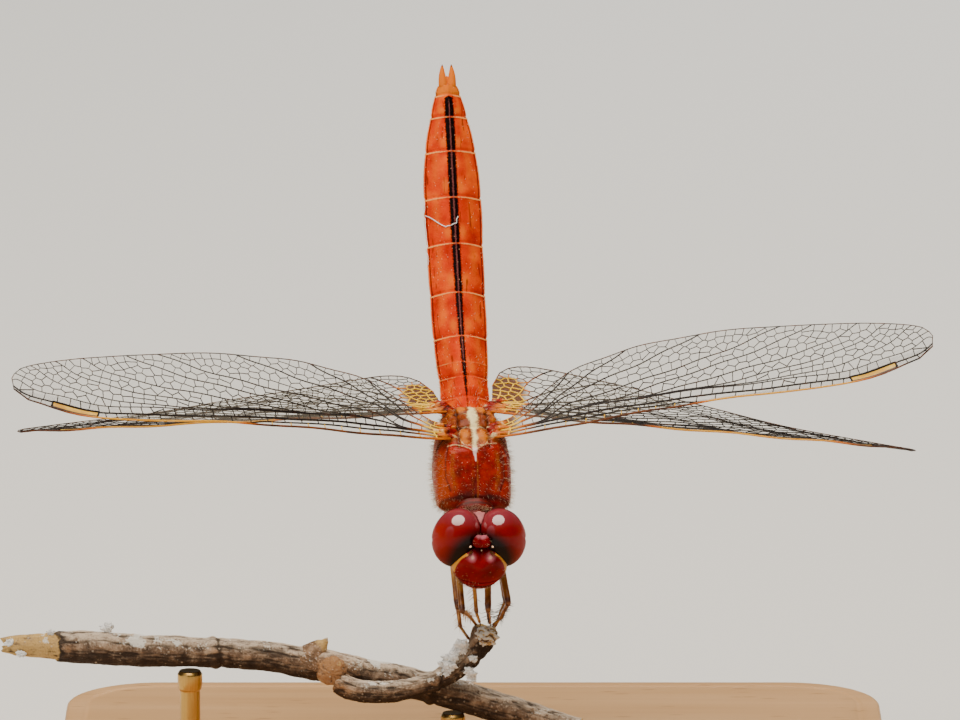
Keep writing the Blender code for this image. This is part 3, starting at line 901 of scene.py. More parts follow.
def part(obj: Piece, height: tuple[str, float], keep: int, matrix: Matrix, bevel: float) -> None:
    """Cuts a piece at a height along an axis of its frame, closes the cut and rounds its rim.

    Args:
        obj: The piece.
        height: The axis and how far along it the cut is.
        keep: The side to keep: 1 beyond the cut, -1 before it.
        matrix: The frame.
        bevel: How wide the rounding is.
    """
    axis = Vector([letter == height[0] for letter in "xyz"])
    edit_whole(obj)
    bpy.ops.mesh.bisect(plane_co=(matrix @ (axis * height[1])) * MM,
                        plane_no=matrix.to_3x3() @ (axis * -keep),
                        use_fill=True, clear_outer=True, threshold=1e-7)
    bpy.ops.mesh.bevel(offset=bevel * MM, segments=3, affect="EDGES")
    bpy.ops.object.mode_set(mode="OBJECT")


def local_points(obj: Piece, matrix: Matrix) -> Array:
    """A piece's points in millimetres in a frame."""
    points = np.empty(len(obj.data.vertices) * 3)
    obj.data.vertices.foreach_get("co", points)
    return moved(points.reshape(-1, 3) / MM, matrix.inverted())


def set_points(obj: Piece, points: Array, matrix: Matrix) -> None:
    """Writes back a piece's points, given in millimetres in a frame."""
    obj.data.vertices.foreach_set("co", (moved(points, matrix) * MM).ravel())
    obj.data.update()


def dress(obj: Piece, fields: dict[str, Array], finish: Finish, slot: str, *nodes: str,
          shading: Shading = Shading.SMOOTH) -> None:
    write_fields(obj.data, fields)
    obj.data.materials.clear()
    obj.data.materials.append(material_of(finish))
    shade(obj, shading)
    put(obj, slot, *nodes)


def jitter(chance: random.Random, reach: float) -> Array:
    """Three random numbers between the reach below and above nothing."""
    return np.array([chance.uniform(-reach, reach) for _ in "xyz"])


# ---------------------------------------------------------------- abdomen


@dataclass
class Abdomen:
    """The ten-ringed abdomen: a roofed skin, two tail claspers, hairs and a strand of silk on it."""

    segment_lengths: tuple = (1.1, 2.05, 3.75, 3.7, 3.95, 3.65, 3.6, 2.67, 1.69, 0.8)
    half_widths: tuple = (1.72, 1.80, 1.78, 1.98, 2.04, 2.08, 2.13, 1.87, 1.35, 0.94, 0.68)
    rises: tuple = (1.25, 1.45, 1.50, 1.38, 1.30, 1.25, 1.20, 1.10, 0.92, 0.72, 0.55)
    depths: tuple = (1.25, 1.50, 1.35, 1.05, 0.92, 0.87, 0.85, 0.80, 0.68, 0.50, 0.36)
    start: tuple = (0.0, 4.08, 0.35)
    waist_slope: float = 4.0
    tail_slope: float = 41.0
    slope_reach: float = 10.0
    veer: float = 0.6
    inset: float = 0.03
    ring_step: float = 0.065
    sides: int = 120
    stripe: tuple = ((0, 0.0), (1.2, 0.05), (2.2, 0.1), (3.2, 0.14), (5.0, 0.17), (6.9, 0.2), (10.6, 0.27),
                     (14.5, 0.31), (18.2, 0.33), (21.8, 0.34), (24.4, 0.36), (25.9, 0.3), (26.1, -0.1),
                     (28, -0.2))
    clasper_length: float = 1.55
    clasper_spread: float = 0.29
    hair_seed: int = 11
    hair_tries: int = 2600
    silk_strands: tuple = (
        ((16.98, -0.97), (15.77, -0.32), (16.07, 0.04), (16.58, 0.09)),
        ((18.15, -0.99), (17.0, -1.0), (15.6, -0.98), (14.3, -1.0), (13.1, -0.99)),
    )

    def __post_init__(self) -> None:
        """Lays the centreline out in fine steps."""
        self.ends = np.cumsum(self.segment_lengths)
        self.length = float(self.ends[-1])
        steps = np.linspace(0, self.length + 3, 3000)
        slopes = np.radians(self.slope_at(steps))
        step = steps[1] - steps[0]
        sideways = np.full_like(steps, -math.tan(math.radians(self.veer)))
        rows = np.stack([sideways, np.cos(slopes), np.sin(slopes)], 1)
        places = np.vstack([[0, 0, 0], np.cumsum(rows[:-1], axis=0) * step]) + np.array(self.start)
        self.steps, self.places = steps, places

    def slope_at(self, distance: Array) -> Array:
        """The centreline's slope in degrees, that far from the waist."""
        gained = 1 - np.exp(-distance / self.slope_reach)
        return self.waist_slope + (self.tail_slope - self.waist_slope) * gained

    def middle_at(self, distance: Array) -> Array:
        """The centreline's places, that far from the waist."""
        return np.stack([np.interp(distance, self.steps, self.places[:, k]) for k in range(3)], axis=-1)

    def rings(self) -> tuple[Array, Array, Array, Array, Array]:
        """The bare skin.

        Returns:
            The grid of points, and for each point its distance from the waist, its place across in
            millimetres, its half width and its angle.
        """
        distance = np.arange(0.0, self.length + 1e-6, self.ring_step)
        stations = np.concatenate([[0], self.ends])
        sizes = interpolated(list(zip(stations, self.half_widths, self.rises, self.depths)), distance)
        angles = np.linspace(0, 2 * math.pi, self.sides, endpoint=False)
        cosine, sine = np.cos(angles), np.sin(angles)
        half_width = sizes[:, 0:1] - self.inset
        above = (sizes[:, 1:2] - self.inset) * (1 - np.abs(cosine) ** 1.9)
        below = -(sizes[:, 2:3] - self.inset) * (1 - np.abs(cosine) ** 2.4)
        height = np.where(sine >= 0, above, below)
        across = half_width * cosine
        slopes = np.radians(self.slope_at(distance))
        up = np.stack([np.zeros_like(slopes), -np.sin(slopes), np.cos(slopes)], axis=1)
        grid = self.middle_at(distance)[:, None, :] + height[..., None] * up[:, None, :]
        grid[..., 0] += across
        full = np.ones_like(across)
        return grid, distance[:, None] * full, across, half_width * full, angles[None, :] * full

    def skin(self) -> None:
        """The whole abdomen's cuticle, with its ridges, keel, side edges, scars and markings."""
        grid, distance, across, half_width, angles = self.rings()
        sine = np.sin(angles)
        top = ease(-0.05, 0.12, sine)
        index = np.clip(np.searchsorted(self.ends, distance), 0, 9)
        starts = np.concatenate([[0], self.ends[:-1]])
        share = (distance - starts[index]) / np.array(self.segment_lengths)[index]
        rim_place = np.abs(sine)
        laid = distance - 0.75 * (across / half_width) ** 2 * np.exp(-((distance / 6.5) ** 2))
        ridge, step = np.zeros_like(distance), np.zeros_like(distance)
        for end in self.ends[:-1]:
            ridge = np.maximum(ridge, bump(laid - end + 0.08, 0.065))
            step += bump(laid - end - 0.07, 0.08)
        for place in (self.ends[0] + 0.95, self.ends[1] + 1.3):
            ridge = np.maximum(ridge, 0.75 * bump(laid - place, 0.06))
        ridge *= 0.55 + 0.45 * ease(2.5, 8.0, distance)
        teeth = 0.75 + 0.25 * np.cos(angles * 64)
        keel = bump(across, 0.07) * top * ease(1.0, 2.5, distance)
        row = bump(np.abs(across) - 0.42 * half_width, 0.16)
        scars = sum(bump(share - place, 0.07) * row for place in (0.38, 0.62))
        streaks = fractal(grid * (1.0, 0.12, 0.12), 0.16, 2)
        relief = (
            0.055 * ridge * teeth * ease(-0.3, 0.3, sine)
            - 0.06 * step
            + 0.05 * keel
            + 0.045 * np.sin(math.pi * np.clip(share, 0, 1))
            - 0.03 * scars * top * (index >= 2)
            + 0.05 * bump(rim_place, 0.07)
            + 0.012 * fractal(grid, 0.5, 2)
        )
        grid = grid + relief[..., None] * grid_normals(grid)
        stripe_width = np.interp(distance, *zip(*self.stripe))
        sides_share = np.abs(across) / half_width
        glow = np.exp(-(((share - 0.24) / 0.16) ** 2) - ((np.abs(across) - 0.55) / 0.28) ** 2) * (index >= 2)
        glow += 0.55 * bump(sides_share - 0.62, 0.16) * ease(0.1, 0.5, share)
        fields = {
            "glow": np.clip(glow, 0, 1) * top,
            "under": np.clip(ease(0.1, -0.25, sine) + 0.62 * ease(0.25, 0.7, streaks) * top, 0, 1),
            "tail": ease(25.9, 26.4, distance) * 0.9,
            "stripe": line_field(np.abs(across), stripe_width, 0.09) * top * (1 - 0.85 * ridge),
            "keel": bump(across, 0.035) * top * ease(3.0, 6.0, distance) * ease(26.0, 25.4, distance),
            "edge": bump(sides_share - 0.945, 0.022) * top * ease(2.0, 4.0, distance),
            "rim": bump(rim_place, 0.1) * ease(0.5, 3.0, distance),
            "ridge": ridge * ease(-0.35, 0.1, sine) * (0.72 + 0.4 * ease(0.2, 0.9, sides_share))
            * (1 - 0.5 * bump(across, 0.3)),
        }
        self.grid, self.normals, self.distance, self.angles = grid, grid_normals(grid), distance, angles
        segments = [f"abdomen_{k + 1:02d}" for k in range(len(self.segment_lengths))]
        wrapped(grid, fields).cast("abdomen_skin", STANCE.body(), ABDOMEN_CUTICLE, "abdomen", *segments)

    def claspers(self) -> None:
        """The pair of pointed tail claspers and the small plate between them."""
        slope = math.radians(self.slope_at(self.length))
        along = np.array((0, math.cos(slope), math.sin(slope)))
        up = np.array((0, -math.sin(slope), math.cos(slope)))
        for side, sign in SIDES:
            aside = np.array((self.clasper_spread * sign, 0, 0))
            root = self.middle_at(self.length - 0.1) + aside + up * 0.08
            tip = root + along * (self.clasper_length + 0.15) + np.array((0.05 * sign, 0, 0))
            belly = (root + tip) / 2 + np.array((0.05 * sign, 0, 0))
            path = spline([root, belly, tip], 12)
            share = np.linspace(0, 1, len(path))
            sizes = (1.2, 1.22, 1.04, 0.78, 0.42, 0.08)
            radii = 0.29 * np.interp(share, (0, 0.12, 0.35, 0.6, 0.85, 1), sizes)
            points, faces, lengths, _ = tube(path, radii, 20)
            data = MeshData()
            data.add(points, faces, {"tail": 1.0, "edge": ease(1.3, 1.75, lengths)})
            data.cast(f"clasper_{side}", STANCE.body(), ABDOMEN_CUTICLE, "abdomen", f"cercus_{side}")
        root = self.middle_at(self.length - 0.1) - up * 0.12
        path = spline([root, root + along * 0.45, root + along * 0.85 + up * 0.04], 8)
        share = np.linspace(0, 1, len(path))
        radii = 0.3 * np.interp(share, (0, 0.5, 0.85, 1), (1, 0.85, 0.5, 0.15))
        data = MeshData()
        data.add(*tube(path, radii, 16)[:2], {"tail": 1.0})
        data.cast("tail_plate", STANCE.body(), ABDOMEN_CUTICLE, "abdomen")

    def hairs(self) -> None:
        """Pale hairs along the side edges and denser, longer ones over the first rings."""
        chance = random.Random(self.hair_seed)
        data = MeshData()
        rings, sides = self.grid.shape[:2]
        for _ in range(self.hair_tries):
            i, j = int(rings * chance.random()), int(sides * chance.random())
            distance, sine = self.distance[i, j], math.sin(self.angles[i, j])
            near_waist = math.exp(-distance / 2.2)
            at_edge = math.exp(-((sine / 0.2) ** 2))
            keep = 0.9 * near_waist + 0.55 * at_edge + (0.2 if sine < 0 else 0.03)
            if chance.random() > keep:
                continue
            length = 0.14 + 0.1 * chance.random() + 0.4 * near_waist * chance.random()
            lean = np.array((0, 0.8 + 0.5 * chance.random(), 0.5)) + jitter(chance, 0.3)
            direction = self.normals[i, j] + 0.7 * lean
            data.add(*bristle(self.grid[i, j], direction, length, 0.012 + 0.006 * chance.random()),
                     patch=(j / sides, i / rings))
        put(data.build("abdomen_hairs", STANCE.body(), PALE_HAIR), "abdomen")

    def silk(self) -> None:
        """A strand of spider silk that hangs along the abdomen's right edge and lies in a V on its back."""
        data = MeshData()
        for strand in self.silk_strands:
            share = np.linspace(0, 1, 5 * len(strand) - 4)
            stations = np.linspace(0, 1, len(strand))
            places, across = (np.interp(share, stations, column) for column in zip(*strand))
            rows = np.rint(places / self.ring_step).astype(int)
            columns = np.rint(np.arccos(across) / (2 * math.pi) * self.sides).astype(int)
            path = self.grid[rows, columns] + self.normals[rows, columns] * 0.06
            data.add(*tube(path, np.full(len(path), 0.035), 6)[:2])
        data.cast("silk_strand", STANCE.body(), DOWN, "abdomen")

    def build(self) -> None:
        """Builds every piece of the abdomen."""
        self.skin()
        self.claspers()
        self.silk()
        self.hairs()


# ---------------------------------------------------------------- thorax


@dataclass
class Thorax:
    """The box of the thorax with its collar, plates, sutures and hair."""

    sections: tuple = (
        (-3.8, -0.75, -1.35, 1.5), (-3.62, -0.3, -2.0, 2.62), (-3.1, 0.5, -2.7, 2.8),
        (-2.3, 1.45, -3.25, 2.87), (-1.4, 2.25, -3.55, 2.93), (-0.4, 2.65, -3.65, 2.93),
        (0.8, 2.8, -3.4, 2.83), (2.0, 2.75, -2.8, 2.6), (3.0, 2.45, -2.0, 2.3), (3.7, 1.95, -1.25, 1.95),
        (3.95, 1.6, -0.85, 1.7),
    )
    squareness: float = 0.82
    inset: float = 0.03
    ring_step: float = 0.055
    sides: int = 260
    collar_height: float = -1.05
    wing_ridge: tuple = ((-1.85, -0.7), (-1.15, -0.85), (-0.3, -1.25), (0.08, -1.5), (0.34, -1.25),
                         (0.95, -0.88), (1.75, -0.58))
    sutures: tuple = (((0.3, 2.4), (-0.5, 0.2), (-1.5, -3.3)), ((1.9, 2.0), (1.1, -0.4), (-0.2, -3.3)),
                      ((3.5, 1.6), (2.4, -0.6), (1.2, -3.2)))
    shoulder: tuple = ((1.75, -1.35), (1.85, -2.3), (1.6, -3.1))
    humeral: tuple = ((2.0, -0.9), (2.2, -1.6), (2.2, -2.6), (1.85, -3.3))
    smear: tuple = ((1.6, -1.3), (1.75, -2.3), (1.55, -3.2))
    middle: float = 0.1
    hair_seed: int = 5
    hair_tries: int = 7500
    collar_hairs: int = 420

    def bare_grid(self) -> Array:
        """The rings of the bare skin, before its relief."""
        first, last = self.sections[0][0], self.sections[-1][0]
        back = np.arange(first, last + 1e-6, self.ring_step)
        places, *columns = zip(*self.sections)
        sizes = np.stack([np.interp(back, places, column) for column in columns], axis=1)
        kernel = np.array([1, 3, 4, 3, 1]) / 12
        padded = np.vstack([sizes[:1]] * 2 + [sizes] + [sizes[-1:]] * 2)
        sizes = np.stack([np.convolve(padded[:, k], kernel, mode="valid") for k in range(3)], axis=1)
        angles = np.linspace(0, 2 * math.pi, self.sides, endpoint=False)
        cosine = np.sign(np.cos(angles)) * np.abs(np.cos(angles)) ** self.squareness
        sine = np.sign(np.sin(angles)) * np.abs(np.sin(angles)) ** self.squareness
        middle, half = (sizes[:, 0] + sizes[:, 1]) / 2, (sizes[:, 0] - sizes[:, 1]) / 2 - self.inset
        x = (sizes[:, 2] - self.inset)[:, None] * cosine
        z = middle[:, None] + half[:, None] * sine
        return np.stack([x, back[:, None] * np.ones_like(x), z], axis=2)

    def skin(self) -> None:
        """The thorax's cuticle: front plates, back plates between the wings, flanks and sutures."""
        grid = self.bare_grid()
        normals = grid_normals(grid)
        x, y, z = grid[..., 0] - self.middle, grid[..., 1], grid[..., 2]
        aside = np.abs(x)
        top = ease(0.1, 0.5, normals[..., 2])
        front = ease(-1.3, -1.7, y + 0.35 * aside)
        side = ease(0.35, 0.75, np.abs(normals[..., 0]))
        crest = polyline_distance(x, y, [(a - self.middle, b) for a, b in self.wing_ridge])
        ridge = bump(crest, 0.07) * top
        spear = np.clip(1 - aside / np.maximum(0.24 * (y + 2.2), 1e-3), 0, 1) * (y > -2.15) * (y < -1.2) * top
        rails = (bump(x + 0.17, 0.05) + bump(x - 0.17, 0.05)) * ease(-1.7, -2.1, y)
        groove = bump(x, 0.06) * ease(-2.0, -2.3, y)
        hinges = ((1.5, -0.1), (1.5, 0.75), (1.55, 2.3), (1.5, 3.2))
        lobes = {
            "scutum": spot(aside, y, (0.62, -0.15), (0.6, 0.95)),
            "scutellum": spot(x, y, (0, 1.45), (0.75, 0.75)),
            "brow": spot(aside, y, (0.85, 1.35), (0.42, 0.5)),
            "rear": spot(aside, y, (0.75, 3.0), (0.65, 0.75)),
            "root": sum(spot(aside, y, hinge, (0.32, 0.36)) for hinge in hinges),
        }
        troughs = bump(y - 0.62, 0.16) + bump(y - 2.35, 0.16) + 0.8 * bump(aside - 1.15, 0.12)
        troughs = troughs * (y > -1.1) * (y < 3.6) * (aside < 1.8) * top
        lines = side * np.max([bump(polyline_distance(y, z, rows), 0.08) for rows in self.sutures], axis=0)
        shoulder = bump(polyline_distance(aside, y, self.shoulder), 0.13) * (z > -1)
        humeral = bump(polyline_distance(aside, y, self.humeral), 0.08) * (z > -1)
        smear = bump(polyline_distance(aside, y, self.smear), 0.25) * (z > -1)
        spiracle = spot(y, z, (0.75, -0.6), (0.28, 0.16)) * side
        relief = (
            0.11 * ridge + 0.12 * spear + 0.07 * rails * top - 0.06 * groove * top
            + top * (y > -1.3) * (0.16 * lobes["scutum"] + 0.26 * lobes["scutellum"] + 0.12 * lobes["brow"]
                                  + 0.14 * lobes["rear"] + 0.2 * lobes["root"])
            - 0.13 * troughs - 0.08 * lines - 0.1 * spiracle + 0.07 * shoulder - 0.08 * humeral
            + 0.02 * fractal(grid, 0.45, 3) + 0.06 * top * (y > -1.2) * fractal(grid + 3.0, 0.7, 3)
        )
        grid = grid + relief[..., None] * normals
        on_back = top * ease(-1.15, -0.75, y - 0.25 * aside)
        stripe = np.interp(y, (-1.6, -0.6, 0.3, 0.8, 1.3, 2.0, 2.25, 2.6, 2.9, 3.9),
                           (0.1, 0.18, 0.18, 0.28, 0.35, 0.33, 0.56, 0.26, 0.21, 0.24))
        rough = fractal(grid + 5.0, 0.5, 4)
        amber = 1.1 * lobes["scutum"] + 1.1 * lobes["rear"] + 0.8 * lobes["root"] + 0.5 * rough
        arcs = np.abs(np.hypot((aside - 0.55) / 0.5, (y + 0.15) / 0.85) - 1) * 0.55
        cream = line_field(aside, stripe * (1 + 0.6 * rough), 0.16) * (y > -1.5) * top * (0.9 + 0.25 * rough)
        cream = np.maximum(cream, line_field(arcs, 0.02, 0.05) * (y < 0.75) * (y > -1.25) * top
                           * (0.62 + 0.4 * rough))
        fields = {
            # Orange flanks on both sides; the last factor weakens them on the insect's left (x > 0): painted
            # shade there, painted light on the lit right.
            "flank_and_side_light": (ease(1.5, 2.6, np.abs(grid[..., 0])) * (0.6 + 0.4 * ease(-0.5, -1.5, y))
                      + 0.35 * ease(0.8, 1.8, aside) * front) * (1 - 0.8 * (x > 0)),
            "notum": on_back * 0.9,
            "amber": np.clip(amber, 0, 1) * top * (y > -1.1),
            "suture": np.clip(lines + 0.75 * troughs * (aside > 0.45) + spiracle + 0.62 * humeral
                              + 0.3 * bump(aside - 1.1, 0.5) * front
                              + line_field(aside, 0.03, 0.05) * front * ease(-1.9, -2.2, y)
                              + 0.55 * lobes["brow"] * top + 0.6 * bump(y + 3.62, 0.1), 0, 1),
            "olive": np.clip(line_field(np.abs(aside - 0.17), 0.03, 0.06) * ease(-1.6, -2.0, y) * top
                             + 0.4 * smear, 0, 1),
            "cream": np.maximum(cream, 0.8 * line_field(crest, 0.025, 0.045) * top),
            "pink": np.clip(2 * spear, 0, 1),
            "under": ease(-0.2, -0.8, normals[..., 2]),
        }
        self.grid, self.normals = grid, grid_normals(grid)
        wrapped(grid, fields).cast("thorax_skin", STANCE.body(), THORAX_CUTICLE, "thorax", "thorax")

    def collar(self) -> None:
        """The small collar behind the head: a saddle with a raised, notched rear lobe, and its neck."""
        angles = np.linspace(0, 2 * math.pi, 96, endpoint=False)
        rows = ((-5.2, 0.5, 0.45, 0.0), (-4.75, 0.95, 0.55, 0.0), (-4.55, 1.3, 0.66, 0.0),
                (-4.3, 1.45, 0.76, 0.03), (-4.1, 1.36, 0.8, 0.05), (-3.98, 1.38, 0.82, 0.07),
                (-3.88, 1.3, 0.8, 0.05), (-3.7, 0.9, 0.6, 0.0))
        table = spline(rows, 5)
        rings = []
        for y, half_width, half_depth, lobe in table:
            x = half_width * np.cos(angles)
            lift = lobe * np.maximum(np.sin(angles), 0) * (1 - 0.55 * bump(x, 0.18))
            z = self.collar_height + half_depth * np.sin(angles) + lift
            rings.append(np.stack([x, np.full_like(x, y), z], 1))
        grid = np.array(rings)
        back = grid[..., 1]
        fields = {"suture": np.clip(0.6 + bump(back + 4.3, 0.05) + 0.6 * bump(back + 3.75, 0.2), 0, 1)}
        self.collar_grid, self.collar_normals = grid, grid_normals(grid)
        wrapped(grid, fields).cast("collar", STANCE.body(), THORAX_CUTICLE, "thorax", "prothorax")

    def hairs(self) -> None:
        """Short soft hair: dense below and on flanks and front, sparse on the back, with a collar fringe."""
        chance = random.Random(self.hair_seed)
        data = MeshData()
        rings, sides = self.grid.shape[:2]
        for _ in range(self.hair_tries):
            i, j = int(rings * chance.random()), int(sides * chance.random())
            place, normal = self.grid[i, j], self.normals[i, j]
            if place[1] < -3.7 or place[1] > 3.8:
                continue
            keep = 0.12 + 0.6 * abs(normal[0]) ** 2 + 0.5 * max(0.0, -normal[2])
            keep += 0.5 * math.exp(-(((place[1] + 3.4) / 0.4) ** 2))
            if place[1] > -1.2 and normal[2] > 0.6:
                keep = 0.1
            if chance.random() > keep * 0.75:
                continue
            length = 0.22 + 0.38 * chance.random() * (0.4 + 0.6 * (1 - max(0.0, normal[2])))
            lean = jitter(chance, 0.5) + np.array((0.0, -0.25, 0.1))
            droop = np.array((0.0, -0.05, 0.0)) * length
            data.add(*bristle(place, normal + 0.6 * lean, length, 0.008 + 0.005 * chance.random(), droop),
                     patch=(j / sides, i / rings))
        rings, sides = self.collar_grid.shape[:2]
        for _ in range(self.collar_hairs):
            i, j = int(rings * (0.1 + 0.22 * chance.random())), int(sides * 0.5 * chance.random())
            lean = jitter(chance, 0.4) + np.array((0.0, -0.5, 0.4))
            direction = self.collar_normals[i, j] + 0.8 * lean
            data.add(*bristle(self.collar_grid[i, j], direction, 0.2 + 0.25 * chance.random(), 0.011),
                     patch=(0.02 + 0.1 * j / sides, 0.02 + 0.1 * i / rings))
        put(data.build("thorax_hairs", STANCE.body(), PALE_HAIR), "thorax")

    def build(self) -> None:
        """Builds every piece of the thorax."""
        self.skin()
        self.collar()
        self.hairs()


# ---------------------------------------------------------------- head


@dataclass
class Head:
    """The head: skull, two great eyes, crown with its beads, bulging face, lips and feelers."""

    eye_centre: tuple = (1.62, 0.0, 0.1)
    eye_radii: tuple = (1.86, 1.95, 2.35)
    eye_splay: float = 10.0
    gap: float = 0.03
    crown_centre: tuple = (0.0, -1.55, 1.15)
    crown_radii: tuple = (0.72, 0.55, 0.56)
    face_centre: tuple = (0.0, -1.5, -1.36)
    face_radii: tuple = (2.05, 1.4, 1.9)
    brow_line: float = -1.85
    lip_line: float = -2.45
    chin_line: float = -2.95
    skull_voxel: float = 0.085
    bead_sides: int = 18
    hair_seed: int = 3
    face_hairs: int = 420
    crown_hairs: int = 34
    rear_hairs: int = 420

    def __post_init__(self) -> None:
        """Finds the head frame."""
        self.frame = STANCE.head()

    def eye(self, side: str, sign: int) -> None:
        """One eye: a high dome of fine facets, notched behind, with a painted sky sheen above and painted
        shade below.
        """
        centre = Vector((self.eye_centre[0] * sign, *self.eye_centre[1:]))
        obj = ball(f"eye_{side}_lens", centre, self.eye_radii, self.frame, 128, 96, -self.eye_splay * sign)
        part(obj, ("x", sign * self.gap), sign, self.frame, 0.04)
        points = local_points(obj, self.frame)
        rel = (points - np.array(centre)) / np.array(self.eye_radii)
        rise = 0.67 * rel[:, 1] + 0.74 * rel[:, 2]
        outer = rel[:, 0] * sign
        notch = bump(rise + 0.05 + 0.25 * rel[:, 1], 0.09) * ease(0.72, 0.95, outer)
        points -= 0.05 * notch[:, None] * rel
        set_points(obj, points, self.frame)
        from_face = np.hypot(points[:, 0], 0.67 * points[:, 1] + 0.74 * points[:, 2] + 1.95)
        dress(obj, {
            # painted sky sheen on the upper part of the eye
            "painted_sky_sheen": ease(0.3, 1.0, rise + 0.12 * (1 - outer)) * 0.75,
            "cheek": ease(0.35, 0.95, outer) * ease(-0.9, -0.2, rise) * 0.8,
            # painted shade, with the dark pseudopupil, low and towards the face
            "deep": ease(3.1, 2.0, from_face),
            "gloss": 0.05 + 0.9 * ease(0.1, 0.6, rise),
        }, EyeLens(), "eye", f"eye_{side}")

    def skull(self) -> None:
        """The back of the head, melted from its solid, and the small crest between the eyes."""
        focus(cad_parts["head"])
        bpy.ops.object.duplicate()
        obj = bpy.context.object
        for key in [k for k in obj.keys() if k.startswith("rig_")]:
            del obj[key]
        obj.parent = None
        obj.name = obj.data.name = "skull_skin"
        edit_whole(obj)
        bpy.ops.mesh.remove_doubles(threshold=0.002 * MM)
        bpy.ops.object.mode_set(mode="OBJECT")
        modify(obj, "REMESH", mode="VOXEL", voxel_size=self.skull_voxel * MM)
        modify(obj, "SMOOTH", factor=0.5, iterations=5)
        points = local_points(obj, self.frame)
        x, y, z = points.T
        rear_rim = bump(np.hypot(x / 2.6, (z + 0.25) / 2.1) - 0.98, 0.06) * (y > 0.2)
        dress(obj, {
            "gold": 0.8 * rear_rim * ease(0.7, 1.3, np.abs(x)),
            "suture": 0.8 * bump(x, 0.08) * (z < 0.5),
            "pink": ease(1.1, 0.7, np.abs(x)) * ease(0.4, 0.8, z),
            "cream": 0.33 * ease(1.0, 0.5, np.abs(x)) * ease(0.4, 0.8, z),
        }, FACE_CUTICLE, "head", "head")
        crest = ball("occiput", (0.0, 0.95, 1.42), (0.36, 0.42, 0.25), self.frame, 40, 28)
        points = local_points(crest, self.frame)
        behind = ease(0.55, 1.35, points[:, 1])
        points[:, 0] *= 0.3 + 0.75 * behind
        set_points(crest, points, self.frame)
        dress(crest, {
            "cream": 0.36 + 0.06 * np.cos(points[:, 0] * 6),
            "pink": ease(1.5, 1.1, points[:, 1]),
        }, FACE_CUTICLE, "head")

    def crown(self) -> None:
        """The two-lobed tubercle between the eyes, with three glassy beads at its foot."""
        obj = ball("crown", self.crown_centre, self.crown_radii, self.frame, 64, 48)
        points = local_points(obj, self.frame)
        rel = (points - np.array(self.crown_centre)) / np.array(self.crown_radii)
        x, y, z = rel.T
        points[:, 2] -= 0.16 * bump(x, 0.3) * ease(-0.1, 0.9, z)
        points[:, 1] += 0.08 * bump(x, 0.3) * ease(0.0, 0.9, -y)
        points[:, 0] *= 0.88 + 0.14 * ease(0.3, -0.6, z)
        set_points(obj, points, self.frame)
        # The crown's top is painted pink as a highlight, and it is painted darker towards the bottom.
        dress(obj, {
            "pink": ease(0.3, 0.9, 0.75 * z + 0.4 * y),
            "suture": ease(-0.25, -0.8, z + 0.2 * y),
        }, FACE_CUTICLE, "head", "vertex")
        data = MeshData()
        beads = ((0.0, -2.02, 0.66, 0.05), (0.86, -1.85, 0.85, 0.075), (-0.86, -1.85, 0.85, 0.075))
        for x, y, z, radius in beads:
            root, tip = np.array((x * 0.8, y + 0.25, z - 0.02)), np.array((x, y, z))
            path = np.linspace(root, tip, 6)
            radii = radius * np.array((1.25, 1.25, 1.2, 1.0, 1.0, 0.85))
            points, faces, _, _ = tube(path, radii, self.bead_sides, (0.1, 0.6))
            # the tips are painted cream as glints, the roots darker
            glow = np.array([*np.repeat((0.0, 0.0, 0.0, 0.5, 1.0, 1.0), self.bead_sides), 0.0, 1.0])
            data.add(points, faces, {"cream": glow, "suture": 1 - glow})
        data.cast("eye_beads", self.frame, FACE_CUTICLE, "head")

    def face_fields(self, points: Array) -> dict[str, Array]:
        """The face's markings and its painted highlights, from its points in the head frame."""
        side, y, z = ((points - np.array(self.face_centre)) / np.array(self.face_radii)).T
        side = np.abs(side)
        return {
            "gold": ease(-0.49, -0.36, y) * ease(-0.3, 0.15, z) * (z < 0.87) * ease(0.3, 0.5, side),
            "suture": 0.8 * bump(side, 0.07) * ease(0.75, 0.95, z),
            # pink and cream here are painted highlights: two pale spots on the top of the frons
            "pink": spot(side, z, (0.34, 0.8), (0.23, 0.15)) * (y < 0),
            "cream": 0.5 * spot(side, z, (0.33, 0.82), (0.16, 0.11)) * (y < 0),
        }

    @staticmethod
    def _narrowed(rise: Array) -> Array:
        """How much the face narrows, at a height from -1 at the chin to 1 at the crown."""
        return 1 - 0.16 * ease(0.0, -1.0, rise)

